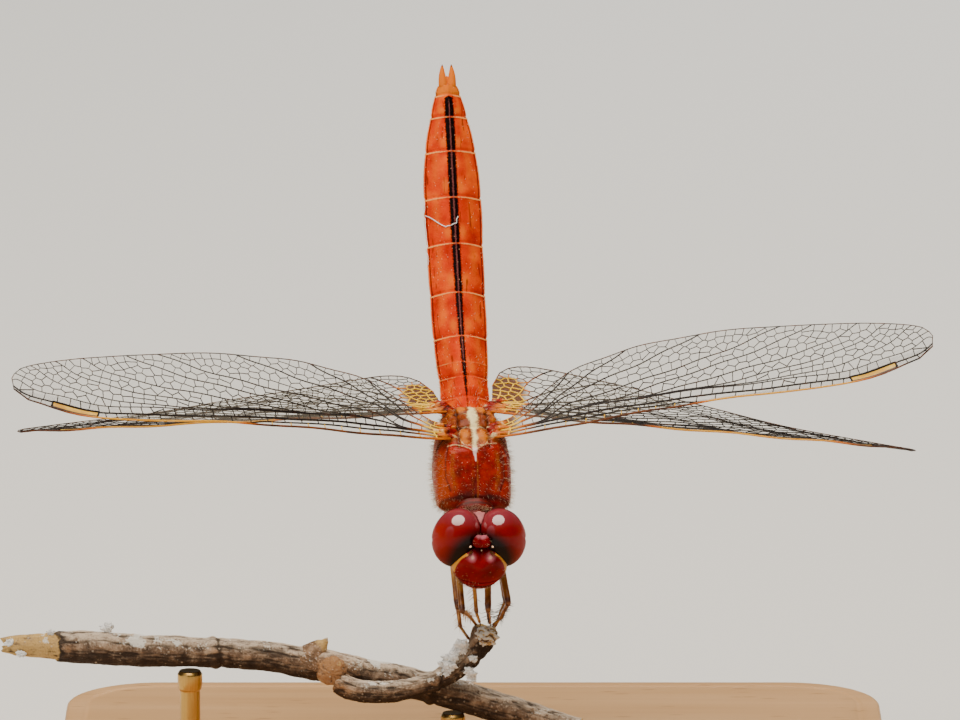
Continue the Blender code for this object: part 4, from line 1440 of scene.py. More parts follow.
    def face(self) -> None:
        """The frons: a glossy globe with a furrow down from the crown; under it the clypeus and the lips."""
        frons = ball("frons_globe", self.face_centre, self.face_radii, self.frame, 128, 96)
        part(frons, ("z", self.brow_line + self.gap), 1, self.frame, 0.05)
        points = local_points(frons, self.frame)
        rel = (points - np.array(self.face_centre)) / np.array(self.face_radii)
        furrow = bump(rel[:, 0], 0.17) * ease(0.35, 0.9, rel[:, 2]) * ease(0.5, -0.2, rel[:, 1])
        lobes = spot(np.abs(rel[:, 0]), rel[:, 2], (0.46, 0.62), (0.5, 0.5)) * ease(0.3, -0.3, rel[:, 1])
        points += (0.13 * lobes - 0.22 * furrow)[:, None] * rel
        points[:, 0] *= self._narrowed(rel[:, 2])
        set_points(frons, points, self.frame)
        dress(frons, self.face_fields(points), FACE_CUTICLE, "head", "frons")
        for name, node, top, bottom, scale in (
            ("clypeus_plate", "clypeus", self.brow_line, self.lip_line, 0.985),
            ("upper_lip", "labrum", self.lip_line, self.chin_line, 1.0),
            ("lower_lip", "labium", self.chin_line, None, 0.99),
        ):
            plate = ball(name, self.face_centre, [r * scale for r in self.face_radii], self.frame, 128, 96)
            part(plate, ("z", top - self.gap), -1, self.frame, 0.06)
            if bottom is not None:
                part(plate, ("z", bottom + self.gap), 1, self.frame, 0.06)
            points = local_points(plate, self.frame)
            rel = points - np.array(self.face_centre)
            wrinkle = 0.02 * np.cos(rel[:, 2] * 2 * math.pi / 0.16) * (name == "clypeus_plate")
            mouth = 0.1 * bump(rel[:, 0], 0.12) * (name == "lower_lip")
            points[:, 1] += np.where(rel[:, 1] < 0, wrinkle + mouth, 0.0)
            points[:, 0] *= self._narrowed(rel[:, 2] / self.face_radii[2])
            set_points(plate, points, self.frame)
            fields = self.face_fields(points)
            fields["gold"] = np.maximum(fields["gold"] * 0.6, 0.5 * (name == "lower_lip"))
            fields["suture"] = 0.7 * ease(0.4, 0.05, points[:, 2] - (bottom or -9)) * (bottom is not None)
            dress(plate, fields, FACE_CUTICLE, "head", node, shading=Shading.BY_ANGLE)

    def feelers(self) -> None:
        """The two short feelers, each of two stout joints and a bristle."""
        for side, sign in SIDES:
            rows = [(0.72, -1.8, 0.3), (0.84, -2.15, 0.45), (1.0, -2.6, 0.7), (1.17, -3.05, 0.95),
                    (1.33, -3.45, 1.12)]
            path = spline([(x * sign, y, z) for x, y, z in rows], 8)
            share = np.linspace(0, 1, len(path))
            sizes = (0.15, 0.15, 0.1, 0.11, 0.05, 0.035, 0.012)
            radii = np.interp(share, (0, 0.1, 0.13, 0.24, 0.28, 0.6, 1), sizes)
            points, faces, lengths, _ = tube(path, radii, 12)
            data = MeshData()
            data.add(points, faces, {"joint": ease(-0.4, 0.5, lengths), "pale": 0.0})
            data.cast(f"feeler_{side}", self.frame, LEG_CUTICLE, "head", f"antenna_{side}")

    def hairs(self) -> None:
        """Short bristly hair over the face's lower plates, the crown and the back of the skull."""
        chance = random.Random(self.hair_seed)
        data = MeshData()
        centre, radii = np.array(self.face_centre), np.array(self.face_radii)
        for _ in range(self.face_hairs):
            turn, rise = math.radians(chance.uniform(-95, 95)), chance.uniform(-0.92, 0.35)
            flat = math.sqrt(1 - rise * rise)
            unit = np.array((math.sin(turn) * flat, -math.cos(turn) * flat, rise))
            if rise > -0.4 and chance.random() < 0.85:
                continue
            lean = jitter(chance, 0.4) + np.array((0, 0, -0.5))
            direction = unit / radii + 0.5 * lean
            data.add(*bristle(centre + unit * radii, direction, chance.uniform(0.08, 0.2), 0.008),
                     patch=(0.5 + turn / 8, 0.5 + rise / 4))
        for _ in range(self.crown_hairs):
            turn, rise = chance.uniform(0, 2 * math.pi), chance.uniform(0.0, 0.9)
            flat = math.sqrt(1 - rise * rise)
            unit = np.array((math.cos(turn) * flat, math.sin(turn) * flat, rise))
            root = np.array(self.crown_centre) + unit * np.array(self.crown_radii) * 0.97
            data.add(*bristle(root, unit + jitter(chance, 0.3), chance.uniform(0.08, 0.18), 0.006),
                     patch=(0.1 + 0.1 * turn / 6.3, 0.1 + 0.1 * rise))
        for _ in range(self.rear_hairs):
            turn, rise = chance.uniform(0, 2 * math.pi), chance.uniform(0.05, 0.7)
            unit = np.array((math.cos(turn) * rise, math.sqrt(1 - rise * rise), math.sin(turn) * rise))
            root = np.array((0, 0.4, -0.25)) + unit * np.array((2.6, 1.35, 2.05))
            data.add(*bristle(root, unit + jitter(chance, 0.4), chance.uniform(0.15, 0.35), 0.011),
                     patch=(0.8 + 0.1 * turn / 6.3, 0.1 + 0.1 * rise))
        put(data.build("face_hairs", self.frame, PALE_HAIR), "head")

    def build(self) -> None:
        """Builds every piece of the head."""
        for side, sign in SIDES:
            self.eye(side, sign)
        self.skull()
        self.crown()
        self.face()
        self.feelers()
        self.hairs()


# ---------------------------------------------------------------- wings


class WingKind(Enum):
    """The two shapes of wing."""

    FORE = "fore"
    HIND = "hind"


Line = tuple[tuple[float, float], ...]

FORE_EDGES = (
    (0.0, -0.75, 0.85), (0.03, -0.9, 1.0), (0.08, -1.0, 2.4), (0.16, -1.05, 4.9), (0.3, -1.05, 6.3),
    (0.45, -1.1, 6.55), (0.65, -1.5, 5.85), (0.8, -1.9, 4.8), (0.9, -1.35, 3.95), (0.96, -0.6, 3.25),
    (0.985, -0.05, 2.65), (1.0, 0.7, 1.8),
)
HIND_EDGES = (
    (0.0, -0.6, 5.2), (0.015, -0.68, 8.3), (0.035, -0.75, 10.0), (0.06, -0.85, 10.9), (0.1, -1.0, 11.2),
    (0.2, -1.3, 10.5), (0.35, -1.5, 9.0), (0.5, -1.6, 7.75), (0.65, -1.85, 6.55), (0.8, -1.95, 5.1),
    (0.9, -1.75, 3.85), (0.96, -1.25, 2.85), (0.985, -0.75, 2.2), (1.0, 0.1, 1.25),
)
# Where the veins behind the radius leave it together, near the root.
FORE_STEM = ((0.0, 0.4), (0.03, 0.36), (0.1, 0.22), (0.14, 0.27))
HIND_STEM = ((0.0, 0.14), (0.09, 0.12), (0.13, 0.16))
# Each main vein from the root to the margin: (share of the span, share of the chord from the front edge).
FORE_VEINS: dict[str, Line] = {
    "costa": ((0.0, 0.0), (0.25, 0.0), (0.5, 0.0), (0.75, 0.0), (1.0, 0.0)),
    "subcosta": ((0.0, 0.2), (0.03, 0.18), (0.1, 0.12), (0.25, 0.075), (0.42, 0.05), (0.5, 0.0), (0.75, 0.0),
                 (1.0, 0.0)),
    "radius": ((0.0, 0.4), (0.03, 0.36), (0.1, 0.21), (0.25, 0.14), (0.42, 0.105), (0.5, 0.085), (0.65, 0.08),
               (0.8, 0.095), (0.9, 0.125), (0.96, 0.15), (1.0, 0.25)),
    "sector_1": (*FORE_STEM, (0.25, 0.245), (0.4, 0.2), (0.5, 0.185), (0.65, 0.18),
                 (0.8, 0.22), (0.9, 0.3), (0.96, 0.42), (1.0, 0.8)),
    "between_1": (*FORE_STEM, (0.25, 0.25), (0.4, 0.21), (0.5, 0.2), (0.65, 0.21),
                  (0.75, 0.29), (0.84, 0.42), (0.91, 0.66), (0.95, 1.0)),
    "sector_2": (*FORE_STEM, (0.25, 0.25), (0.4, 0.215), (0.5, 0.22), (0.62, 0.31),
                 (0.75, 0.48), (0.84, 0.72), (0.89, 1.0)),
    "between_2": (*FORE_STEM, (0.25, 0.255), (0.37, 0.24), (0.5, 0.34), (0.65, 0.5),
                  (0.76, 0.72), (0.825, 1.0)),
    "sector_3": (*FORE_STEM, (0.22, 0.275), (0.3, 0.3), (0.43, 0.43), (0.55, 0.58),
                 (0.65, 0.78), (0.72, 1.0)),
    "media_1": ((0.0, 0.4), (0.03, 0.38), (0.1, 0.25), (0.15, 0.38), (0.22, 0.41), (0.33, 0.48), (0.45, 0.6),
                (0.56, 0.78), (0.645, 1.0)),
    "media_2": ((0.0, 0.55), (0.05, 0.5), (0.1, 0.47), (0.15, 0.55), (0.22, 0.62), (0.3, 0.7), (0.38, 0.83),
                (0.46, 1.0)),
    "cubitus": ((0.0, 0.58), (0.05, 0.54), (0.1, 0.5), (0.145, 0.64), (0.18, 0.74), (0.23, 0.86),
                (0.29, 1.0)),
    "anal": ((0.0, 0.7), (0.05, 0.72), (0.09, 0.74), (0.12, 0.82), (0.16, 1.0)),
}
HIND_VEINS: dict[str, Line] = {
    "costa": ((0.0, 0.0), (0.25, 0.0), (0.43, 0.0), (0.75, 0.0), (1.0, 0.0)),
    "subcosta": ((0.0, 0.08), (0.1, 0.065), (0.25, 0.055), (0.36, 0.045), (0.43, 0.0), (0.75, 0.0),
                 (1.0, 0.0)),
    "radius": ((0.0, 0.14), (0.1, 0.115), (0.25, 0.1), (0.43, 0.075), (0.6, 0.07), (0.8, 0.09), (0.9, 0.12),
               (0.96, 0.15), (1.0, 0.25)),
    "sector_1": (*HIND_STEM, (0.25, 0.165), (0.43, 0.14), (0.6, 0.145), (0.75, 0.185),
                 (0.87, 0.28), (0.94, 0.42), (1.0, 0.8)),
    "between_1": (*HIND_STEM, (0.25, 0.168), (0.43, 0.145), (0.6, 0.17), (0.72, 0.26),
                  (0.82, 0.41), (0.89, 0.65), (0.93, 1.0)),
    "sector_2": (*HIND_STEM, (0.25, 0.168), (0.41, 0.15), (0.54, 0.22), (0.7, 0.4),
                 (0.8, 0.66), (0.87, 1.0)),
    "between_2": (*HIND_STEM, (0.23, 0.17), (0.32, 0.17), (0.45, 0.25), (0.6, 0.42),
                  (0.71, 0.66), (0.79, 1.0)),
    "sector_3": (*HIND_STEM, (0.2, 0.18), (0.27, 0.2), (0.39, 0.3), (0.5, 0.45), (0.6, 0.7),
                 (0.675, 1.0)),
    "media_1": ((0.0, 0.15), (0.09, 0.125), (0.14, 0.2), (0.2, 0.24), (0.3, 0.33), (0.42, 0.5), (0.52, 0.73),
                (0.595, 1.0)),
    "media_2": ((0.0, 0.2), (0.08, 0.22), (0.13, 0.27), (0.2, 0.36), (0.28, 0.5), (0.36, 0.72), (0.43, 1.0)),
    "cubitus": ((0.0, 0.21), (0.08, 0.24), (0.12, 0.29), (0.16, 0.4), (0.21, 0.54), (0.26, 0.74),
                (0.31, 1.0)),
    "loop": ((0.0, 0.22), (0.06, 0.26), (0.085, 0.34), (0.11, 0.5), (0.14, 0.66), (0.18, 0.84), (0.22, 1.0)),
    "anal": ((0.0, 0.24), (0.04, 0.3), (0.06, 0.42), (0.07, 0.6), (0.085, 0.8), (0.11, 1.0)),
}
# The tough plates at each root: place across the wing, length and radius.
FORE_WEDGES = ((-0.5, 1.3, 0.27), (0.05, 1.15, 0.34), (0.6, 0.9, 0.24))
HIND_WEDGES = ((-0.35, 1.3, 0.27), (0.3, 1.35, 0.34), (1.05, 1.0, 0.3), (2.0, 0.6, 0.2))


# How many of the nearest cells can border on a cell, and the shortest crossvein in millimetres.
NEIGHBOURS = 16
SHORTEST_VEIN = 0.04


@dataclass
class WingPlan:
    """A flat wing: its edges, main veins and cells, worked out once and used left and right."""

    kind: WingKind
    span: float
    edges: tuple
    veins: dict[str, Line]
    wedges: tuple
    nodus: float
    seed: int
    stigma: tuple[float, float] = (0.822, 0.924)
    samples: int = 9
    relaxations: int = 3
    patience: int = 400

    def __post_init__(self) -> None:
        """Works out the veins' paths and the cells."""
        self.table = self._edge_table()
        self.paths = {name: spline(rows, self.samples) for name, rows in self.veins.items()}
        for path in self.paths.values():
            path[:, 1] = np.clip(path[:, 1], 0.0, 1.0)
        self.cells: list[list] = []
        self.crossveins: list[tuple] = []
        names = list(self.paths)
        for index, (upper, lower) in enumerate(zip(names, names[1:] + [None])):
            self._fill(index, self._region(upper, lower))

    def _edge_table(self) -> Array:
        """The front and back edge at fine steps of the span."""
        rows = np.array(self.edges)
        at = np.linspace(0, 1, 401)
        ahead, behind = np.vstack([rows[1:], rows[-1:]]), np.vstack([rows[:1], rows[:-1]])
        slopes = (ahead - behind)[:, 1:] / (ahead - behind)[:, :1]
        i = np.clip(np.searchsorted(rows[:, 0], at, side="right") - 1, 0, len(rows) - 2)
        width = (rows[i + 1, 0] - rows[i, 0])[:, None]
        t = ((at - rows[i, 0]) / width[:, 0])[:, None]
        values = (
            rows[i, 1:] * (2 * t**3 - 3 * t**2 + 1) + slopes[i] * width * (t**3 - 2 * t**2 + t)
            + rows[i + 1, 1:] * (3 * t**2 - 2 * t**3) + slopes[i + 1] * width * (t**3 - t**2)
        )
        return np.column_stack([at, values])

    def flat(self, path: Array) -> Array:
        """Places in millimetres on the flat wing, from shares of the span and of the chord."""
        share, chord = path[:, 0], path[:, 1]
        front, back = self._edges_at(share)
        return np.column_stack([share * self.span, front + chord * (back - front)])

    def _edges_at(self, share: Array) -> list[Array]:
        """The front and the back edge at shares of the span."""
        return [np.interp(share, self.table[:, 0], self.table[:, k]) for k in (1, 2)]

    def chord_share(self, places: Array) -> Array:
        """The share of the chord at which each flat place lies."""
        share = places[:, 0] / self.span
        front, back = self._edges_at(share)
        return np.clip((places[:, 1] - front) / (back - front), 0, 1)

    def margin(self, start: float, end: float) -> Array:
        """The edge from the tip's front corner, at -1, round its back corner, at 0, to the root's, at 1."""
        if end <= start:
            return np.zeros((0, 2))
        at = np.linspace(start, end, max(2, int(60 * (end - start))))
        return np.where(at[:, None] < 0, np.column_stack([np.ones_like(at), 1 + at]),
                        np.column_stack([1 - at, np.ones_like(at)]))

    @staticmethod
    def _margin_place(row: Array) -> float:
        """Where on the margin a vein ends."""
        return row[1] - 1 if row[0] >= 1 - 1e-9 else 1 - row[0]

    def _region(self, upper: str, lower: str | None) -> Array:
        """The outline of the field between two veins, in flat millimetres."""
        above = self.paths[upper]
        start = self._margin_place(above[-1])
        if lower is None:
            return self.flat(np.vstack([above, self.margin(start, 1.0)]))
        below = self.paths[lower]
        same = 0
        while same < min(len(above), len(below)) - 1 and np.allclose(above[same], below[same], atol=2e-3):
            same += 1
        first = max(same - 1, 0)
        edge = self.margin(start, self._margin_place(below[-1]))
        return self.flat(np.vstack([above[first:], edge, below[first:][::-1]]))

    def _spacing(self, index: int, place: Array) -> float:
        """How far apart the cells' middles are, which shrinks towards the hind margin."""
        share = place[0] / self.span
        chord = float(self.chord_share(place[None, :])[0])
        if index <= 1:
            return 1.15 if share < self.nodus else 0.95
        if index == 2:
            return 0.8
        base = 0.92 - 0.3 * chord ** 1.5
        if self.kind is WingKind.HIND and share < 0.12:
            base = 0.6
        return base * (0.9 if share > 0.7 else 1.0)

    def _fill(self, index: int, outline: Array) -> None:
        """Fills a field with cells by relaxing seeds inside it, and notes the crossveins between them."""
        if area_of(outline) < 0.05:
            return
        stretch = np.array((1.0, 0.55 if self.kind is WingKind.HIND and index > 9 else 1.0))
        outline = outline * stretch
        chance = random.Random(self.seed * 100 + index)
        low, high = outline.min(axis=0), outline.max(axis=0)
        seeds: list[Array] = []
        misses = 0
        while misses < self.patience:
            place = np.array([chance.uniform(low[0], high[0]), chance.uniform(low[1], high[1])])
            spacing = self._spacing(index, place / stretch) * 0.82
            if not inside(outline, place) or any(np.hypot(*(place - s)) < spacing for s in seeds):
                misses += 1
                continue
            seeds.append(place)
            misses = 0
        for _ in range(self.relaxations):
            cells = [self._cell(outline, seeds, k)[0] for k in range(len(seeds))]
            seeds = [centroid(cell) if len(cell) > 2 else seed for cell, seed in zip(cells, seeds)]
        for k, _ in enumerate(seeds):
            points, labels = self._cell(outline, seeds, k)
            if len(points) < 3:
                continue
            points = [(x, y / stretch[1]) for x, y in points]
            self.cells.append(points)
            for i, label in enumerate(labels):
                if label > k:
                    self.crossveins.append((points[i], points[(i + 1) % len(points)], index))

    @staticmethod
    def _cell(outline: Array, seeds: list[Array], k: int) -> tuple[list, list]:
        """The part of the field that is nearest to one seed.

        Args:
            outline: The field's outline.
            seeds: All the seeds in the field.
            k: Which seed.

        Returns:
            The cell's corners, and for the edge after each corner the seed beyond it, or -1 on a main vein.
        """
        own = seeds[k]
        order = sorted((float(np.hypot(*(s - own))), i) for i, s in enumerate(seeds) if i != k)[:NEIGHBOURS]
        points = [tuple(p) for p in outline]
        labels = [-1] * len(points)
        for _, other in order:
            middle = ((own[0] + seeds[other][0]) / 2, (own[1] + seeds[other][1]) / 2)
            normal = (seeds[other][0] - own[0], seeds[other][1] - own[1])
            depth = [(p[0] - middle[0]) * normal[0] + (p[1] - middle[1]) * normal[1] for p in points]
            if max(depth, default=0) <= 0:
                continue
            kept, tags = [], []
            for i, point in enumerate(points):
                j = (i + 1) % len(points)
                stays = depth[i] <= 0
                if stays:
                    kept.append(point)
                    tags.append(labels[i])
                if stays != (depth[j] <= 0):
                    kept.append(crossing(point, points[j], depth[i], depth[j]))
                    tags.append(other if stays else labels[i])
            points, labels = kept, tags
            if len(points) < 3:
                break
        return points, labels


def area_of(outline: Array) -> float:
    """The area of a flat outline."""
    x, y = outline.T
    return 0.5 * abs(np.dot(x, np.roll(y, 1)) - np.dot(y, np.roll(x, 1)))


def inside(outline: Array, place: Array) -> bool:
    """Whether a place lies in an outline."""
    x, y = outline[:, 0], outline[:, 1]
    x2, y2 = np.roll(x, -1), np.roll(y, -1)
    crosses = (y > place[1]) != (y2 > place[1])
    with np.errstate(divide="ignore", invalid="ignore"):
        at = x + (place[1] - y) * (x2 - x) / (y2 - y)
    return bool(np.count_nonzero(crosses & (place[0] < at)) % 2)


def crossing(start: tuple, end: tuple, before: float, after: float) -> tuple[float, float]:
    """Where a line from start to end meets the border, from how far each is past it."""
    t = before / (before - after)
    return start[0] + t * (end[0] - start[0]), start[1] + t * (end[1] - start[1])


def centroid(points: Sequence[tuple[float, float]]) -> Array:
    """The middle of a flat outline's area."""
    p = np.array(points)
    q = np.roll(p, -1, axis=0)
    cross = p[:, 0] * q[:, 1] - q[:, 0] * p[:, 1]
    area = cross.sum() / 2
    if abs(area) < 1e-9:
        return p.mean(axis=0)
    return ((p + q) * cross[:, None]).sum(axis=0) / (6 * area)


@dataclass
class Wing:
    """One wing, set on its hinge: veins, membrane, spot and the plates at its root."""

    name: str
    plan: WingPlan
    sign: int
    hinge: tuple[float, float, float]
    sweep: float
    lift: float
    pitch_root: float
    pitch_tip: float
    droop: float
    shear: float
    puff: float = 0.035
    main_radii: dict = field(
        default_factory=lambda: {"costa": (0.09, 0.35), "subcosta": (0.07, 0.45), "radius": (0.088, 0.35)}
    )

    def __post_init__(self) -> None:
        """Finds the wing's frame in the stand's frame."""
        turn = Euler((0, math.radians(-self.lift * self.sign), math.radians(-self.sweep * self.sign)))
        local = turn.to_matrix().to_4x4()
        local.translation = Vector((self.hinge[0] * self.sign, self.hinge[1], self.hinge[2]))
        self.frame = STANCE.body() @ local

    def lifted(self, places: Array, height: Array | float = 0.0) -> Array:
        """Flat places on the wing as points of its frame, with a height over its middle surface."""
        share = places[:, 0] / self.plan.span
        pitch = np.radians(self.pitch_root + (self.pitch_tip - self.pitch_root) * share)
        wave = 0.06 * np.sin(places[:, 0] * 0.9 + places[:, 1] * 1.7) * ease(0.02, 0.2, share)
        height = height + wave
        y = places[:, 1] * np.cos(pitch) - height * np.sin(pitch)
        z = places[:, 1] * np.sin(pitch) + height * np.cos(pitch) - self.droop * share**2
        x = places[:, 0] - self.shear * places[:, 1] * ease(9.0, 0.0, places[:, 0])
        return np.column_stack([x * self.sign, y, z])

    def amber_at(self, places: Array) -> Array:
        """How amber the wing is at flat places: in a patch at the hind root, and a touch at the fore."""
        x, y = places[:, 0], places[:, 1]
        if self.plan.kind is WingKind.HIND:
            return (ease(2.75, 2.4, x + 0.1 * np.abs(y - 3.5) + 0.15 * np.sin(y * 2.3))
                    * ease(8.2, 7.4, y + 0.35 * np.sin(x * 4.0)))
        return ease(2.5, 1.2, x + 0.15 * np.abs(y))

    def veins(self) -> None:
        """The main veins, tapered and amber along the front and at the root, and the fine crossveins."""
        data = MeshData()
        for name, path in self.plan.paths.items():
            flat = self.plan.flat(path)
            share = flat[:, 0] / self.plan.span
            radius, taper = self.main_radii.get(name, (0.058, 0.45))
            radii = radius * (1 - taper * share)
            if name == "subcosta":
                keep = share <= self.plan.nodus + 0.005
                flat, share, radii = flat[keep], share[keep], radii[keep]
            self._vein(data, flat, radii, self._tone(name, flat), 6)
        low, high = self.plan.stigma
        radius = self.plan.paths["radius"]
        back = np.linspace(low, high, 18)
        border = np.column_stack([back - 0.006, np.interp(back, radius[:, 0], radius[:, 1])])
        border = np.vstack([(low, 0.02), border, (high, 0.02)])
        path, radii = self.lifted(self.plan.flat(border), 0.06), np.full(len(border), 0.075)
        data.add(*tube(path, radii, 6)[:2], {"tone": 0.0})
        margin = self.plan.flat(self.plan.margin(-1.0, 1.0))
        radii = 0.045 - 0.012 * margin[:, 0] / self.plan.span
        self._vein(data, margin, radii, 0.06 + 0.5 * self.amber_at(margin), 5)
        for start, end, index in self.plan.crossveins:
            flat = np.array([start, end])
            if np.hypot(*(flat[1] - flat[0])) < SHORTEST_VEIN:
                continue
            amber = float(self.amber_at(flat).mean())
            chord = self.plan.chord_share(flat).mean()
            radius = (0.042 if index <= 2 else 0.04 - 0.01 * chord) * (1 + 0.9 * amber)
            in_front = index == 0 and flat[0, 0] < self.plan.nodus * self.plan.span
            data.add(*tube(self.lifted(flat), np.array([radius, radius]), 4, (0.0, 0.0))[:2],
                     {"tone": min(1.0, 0.95 * amber + 0.8 * in_front)})
        data.cast(f"{self.name}_veins", self.frame, Veins(), "wing", self.name)

    def _vein(self, data: MeshData, flat: Array, radii: Array, tone: Array, sides: int) -> None:
        """Adds a vein along flat places, with a radius and a tone at each."""
        tones = np.concatenate([np.repeat(tone, sides), tone[[0, -1]]])
        data.add(*tube(self.lifted(flat), radii, sides)[:2], {"tone": tones})

    def _tone(self, name: str, flat: Array) -> Array:
        """How amber a main vein is along its length, from 0, near black, to 1, straw."""
        amber = self.amber_at(flat)
        share = flat[:, 0] / self.plan.span
        root = ease(0.11, 0.03, share)
        if name == "costa":
            tip = ease(0.8, 0.93, share)
            beyond = ease(self.plan.nodus - 0.05, self.plan.nodus, share)
            return np.clip(0.1 + 0.58 * beyond + 0.4 * root - 0.62 * tip, 0, 1)
        if name in ("subcosta", "radius"):
            return np.clip(0.6 * root + 0.3 * amber, 0, 1)
        return np.clip(0.55 * root + 0.7 * amber, 0, 1)

    def membrane(self) -> None:
        """The film in each cell: a shallow fan that bulges between its veins."""
        data = MeshData()
        for corners in self.plan.cells:
            flat = np.array(corners)
            middle = flat.mean(axis=0)[None, :]
            count = len(flat)
            fan = np.vstack([self.lifted(flat), self.lifted(middle, self.puff * math.sqrt(area_of(flat)))])
            faces = [(k, (k + 1) % count, count) for k in range(count)]
            data.add(fan, faces, {"amber": self.amber_at(np.vstack([flat, middle]))})
        obj = data.build(f"{self.name}_membrane", self.frame, Membrane())
        edit_whole(obj)
        bpy.ops.mesh.remove_doubles(threshold=0.004 * MM)
        bpy.ops.mesh.normals_make_consistent(inside=False)
        bpy.ops.object.mode_set(mode="OBJECT")
        put(obj, "wing")

    def spot(self) -> None:
        """The thickened golden cell near the tip, between the two front veins, with its dark border."""
        low, high = self.plan.stigma
        share = np.linspace(low, high, 26)
        radius = self.plan.paths["radius"]
        chord = np.interp(share, radius[:, 0], radius[:, 1])
        front = self.plan.flat(np.column_stack([share, np.zeros_like(share)]))
        back = self.plan.flat(np.column_stack([share - 0.006, chord]))
        rows = [front + (back - front) * t for t in (0.0, 0.12, 0.3, 0.5, 0.7, 0.88, 1.0)]
        heights = (0.03, 0.06, 0.075, 0.08, 0.075, 0.06, 0.03)
        ring = [self.lifted(row, h) for row, h in zip(rows, heights)]
        ring += [self.lifted(row, -h) for row, h in zip(rows[::-1], heights[::-1])]
        grid = np.stack(ring, axis=1)
        border = np.zeros(grid.shape[:2])
        border[:1], border[-1:] = 1.0, 1.0
        border[:, [0, 1, 5, 6, 7, 8, 12, 13]] = 1.0
        wrapped(grid, {"border": border}).cast(f"{self.name}_spot", self.frame, STIGMA_CUTICLE, "wing")

    def root(self) -> None:
        """The tough plates where the wing joins the body: fluted wedges from which the veins run out."""
        data = MeshData()
        pitch = math.radians(self.pitch_root)
        for y, length, radius in self.plan.wedges:
            rows = ((-0.45, y * 0.85), (0.1, y * 0.95), (length * 0.6, y), (length, y * 1.02))
            x, across = spline(rows, 6).T
            centre = np.column_stack([x * self.sign, across * math.cos(pitch), across * math.sin(pitch)])
            share = np.linspace(0, 1, len(x))
            radii = radius * np.interp(share, (0, 0.35, 0.7, 1), (0.9, 1.0, 0.6, 0.18))
            points, faces, lengths, _ = tube(centre, radii, 24)
            points = np.array(points)
            rough = fractal(points + self.sign, 0.45, 3)
            points = points + 0.09 * rough[:, None] * (points - centre.mean(axis=0)) / radius
            data.add(points, faces, {
                "amber": ease(0.2, 1.1, lengths) * 0.8 + 0.2 * rough,
                "cream": 0.55 * ease(0.25, 0.6, rough),
                "suture": ease(0.1, 0.55, -rough),
            })
        data.cast(f"{self.name}_root", self.frame, THORAX_CUTICLE, "thorax")

    def build(self) -> None:
        """Builds every piece of the wing."""
        self.veins()
        self.membrane()
        self.spot()
        self.root()


@dataclass
class Wings:
    """The four wings, each a row of its name and of Wing's fields after the plan."""

    fore: tuple = (
        ("wing_fore_left", 1, (1.75, 0.5, 2.5), 8.3, 20.3, 0.0, 0.0, 0.6, 0.0),
        ("wing_fore_right", -1, (1.75, 0.4, 2.5), 6.6, 14.6, 0.0, 0.0, 0.6, 0.0),
    )
    hind: tuple = (
        ("wing_hind_left", 1, (1.75, 3.6, 1.8), 20.5, 10.9, -22.0, -42.0, 0.8, 0.32),
        ("wing_hind_right", -1, (1.75, 3.6, 1.8), 9.0, 7.1, -27.0, -40.0, 0.8, 0.12),
    )

    def build(self) -> None:
        """Plans the two shapes and sets the four wings."""
        fore = WingPlan(WingKind.FORE, 33.4, FORE_EDGES, FORE_VEINS, FORE_WEDGES, nodus=0.5, seed=1)
        hind = WingPlan(WingKind.HIND, 32.2, HIND_EDGES, HIND_VEINS, HIND_WEDGES, nodus=0.43, seed=2)
        for plan, rows in ((fore, self.fore), (hind, self.hind)):
            for name, *rest in rows:
                Wing(name, plan, *rest).build()


# ---------------------------------------------------------------- legs


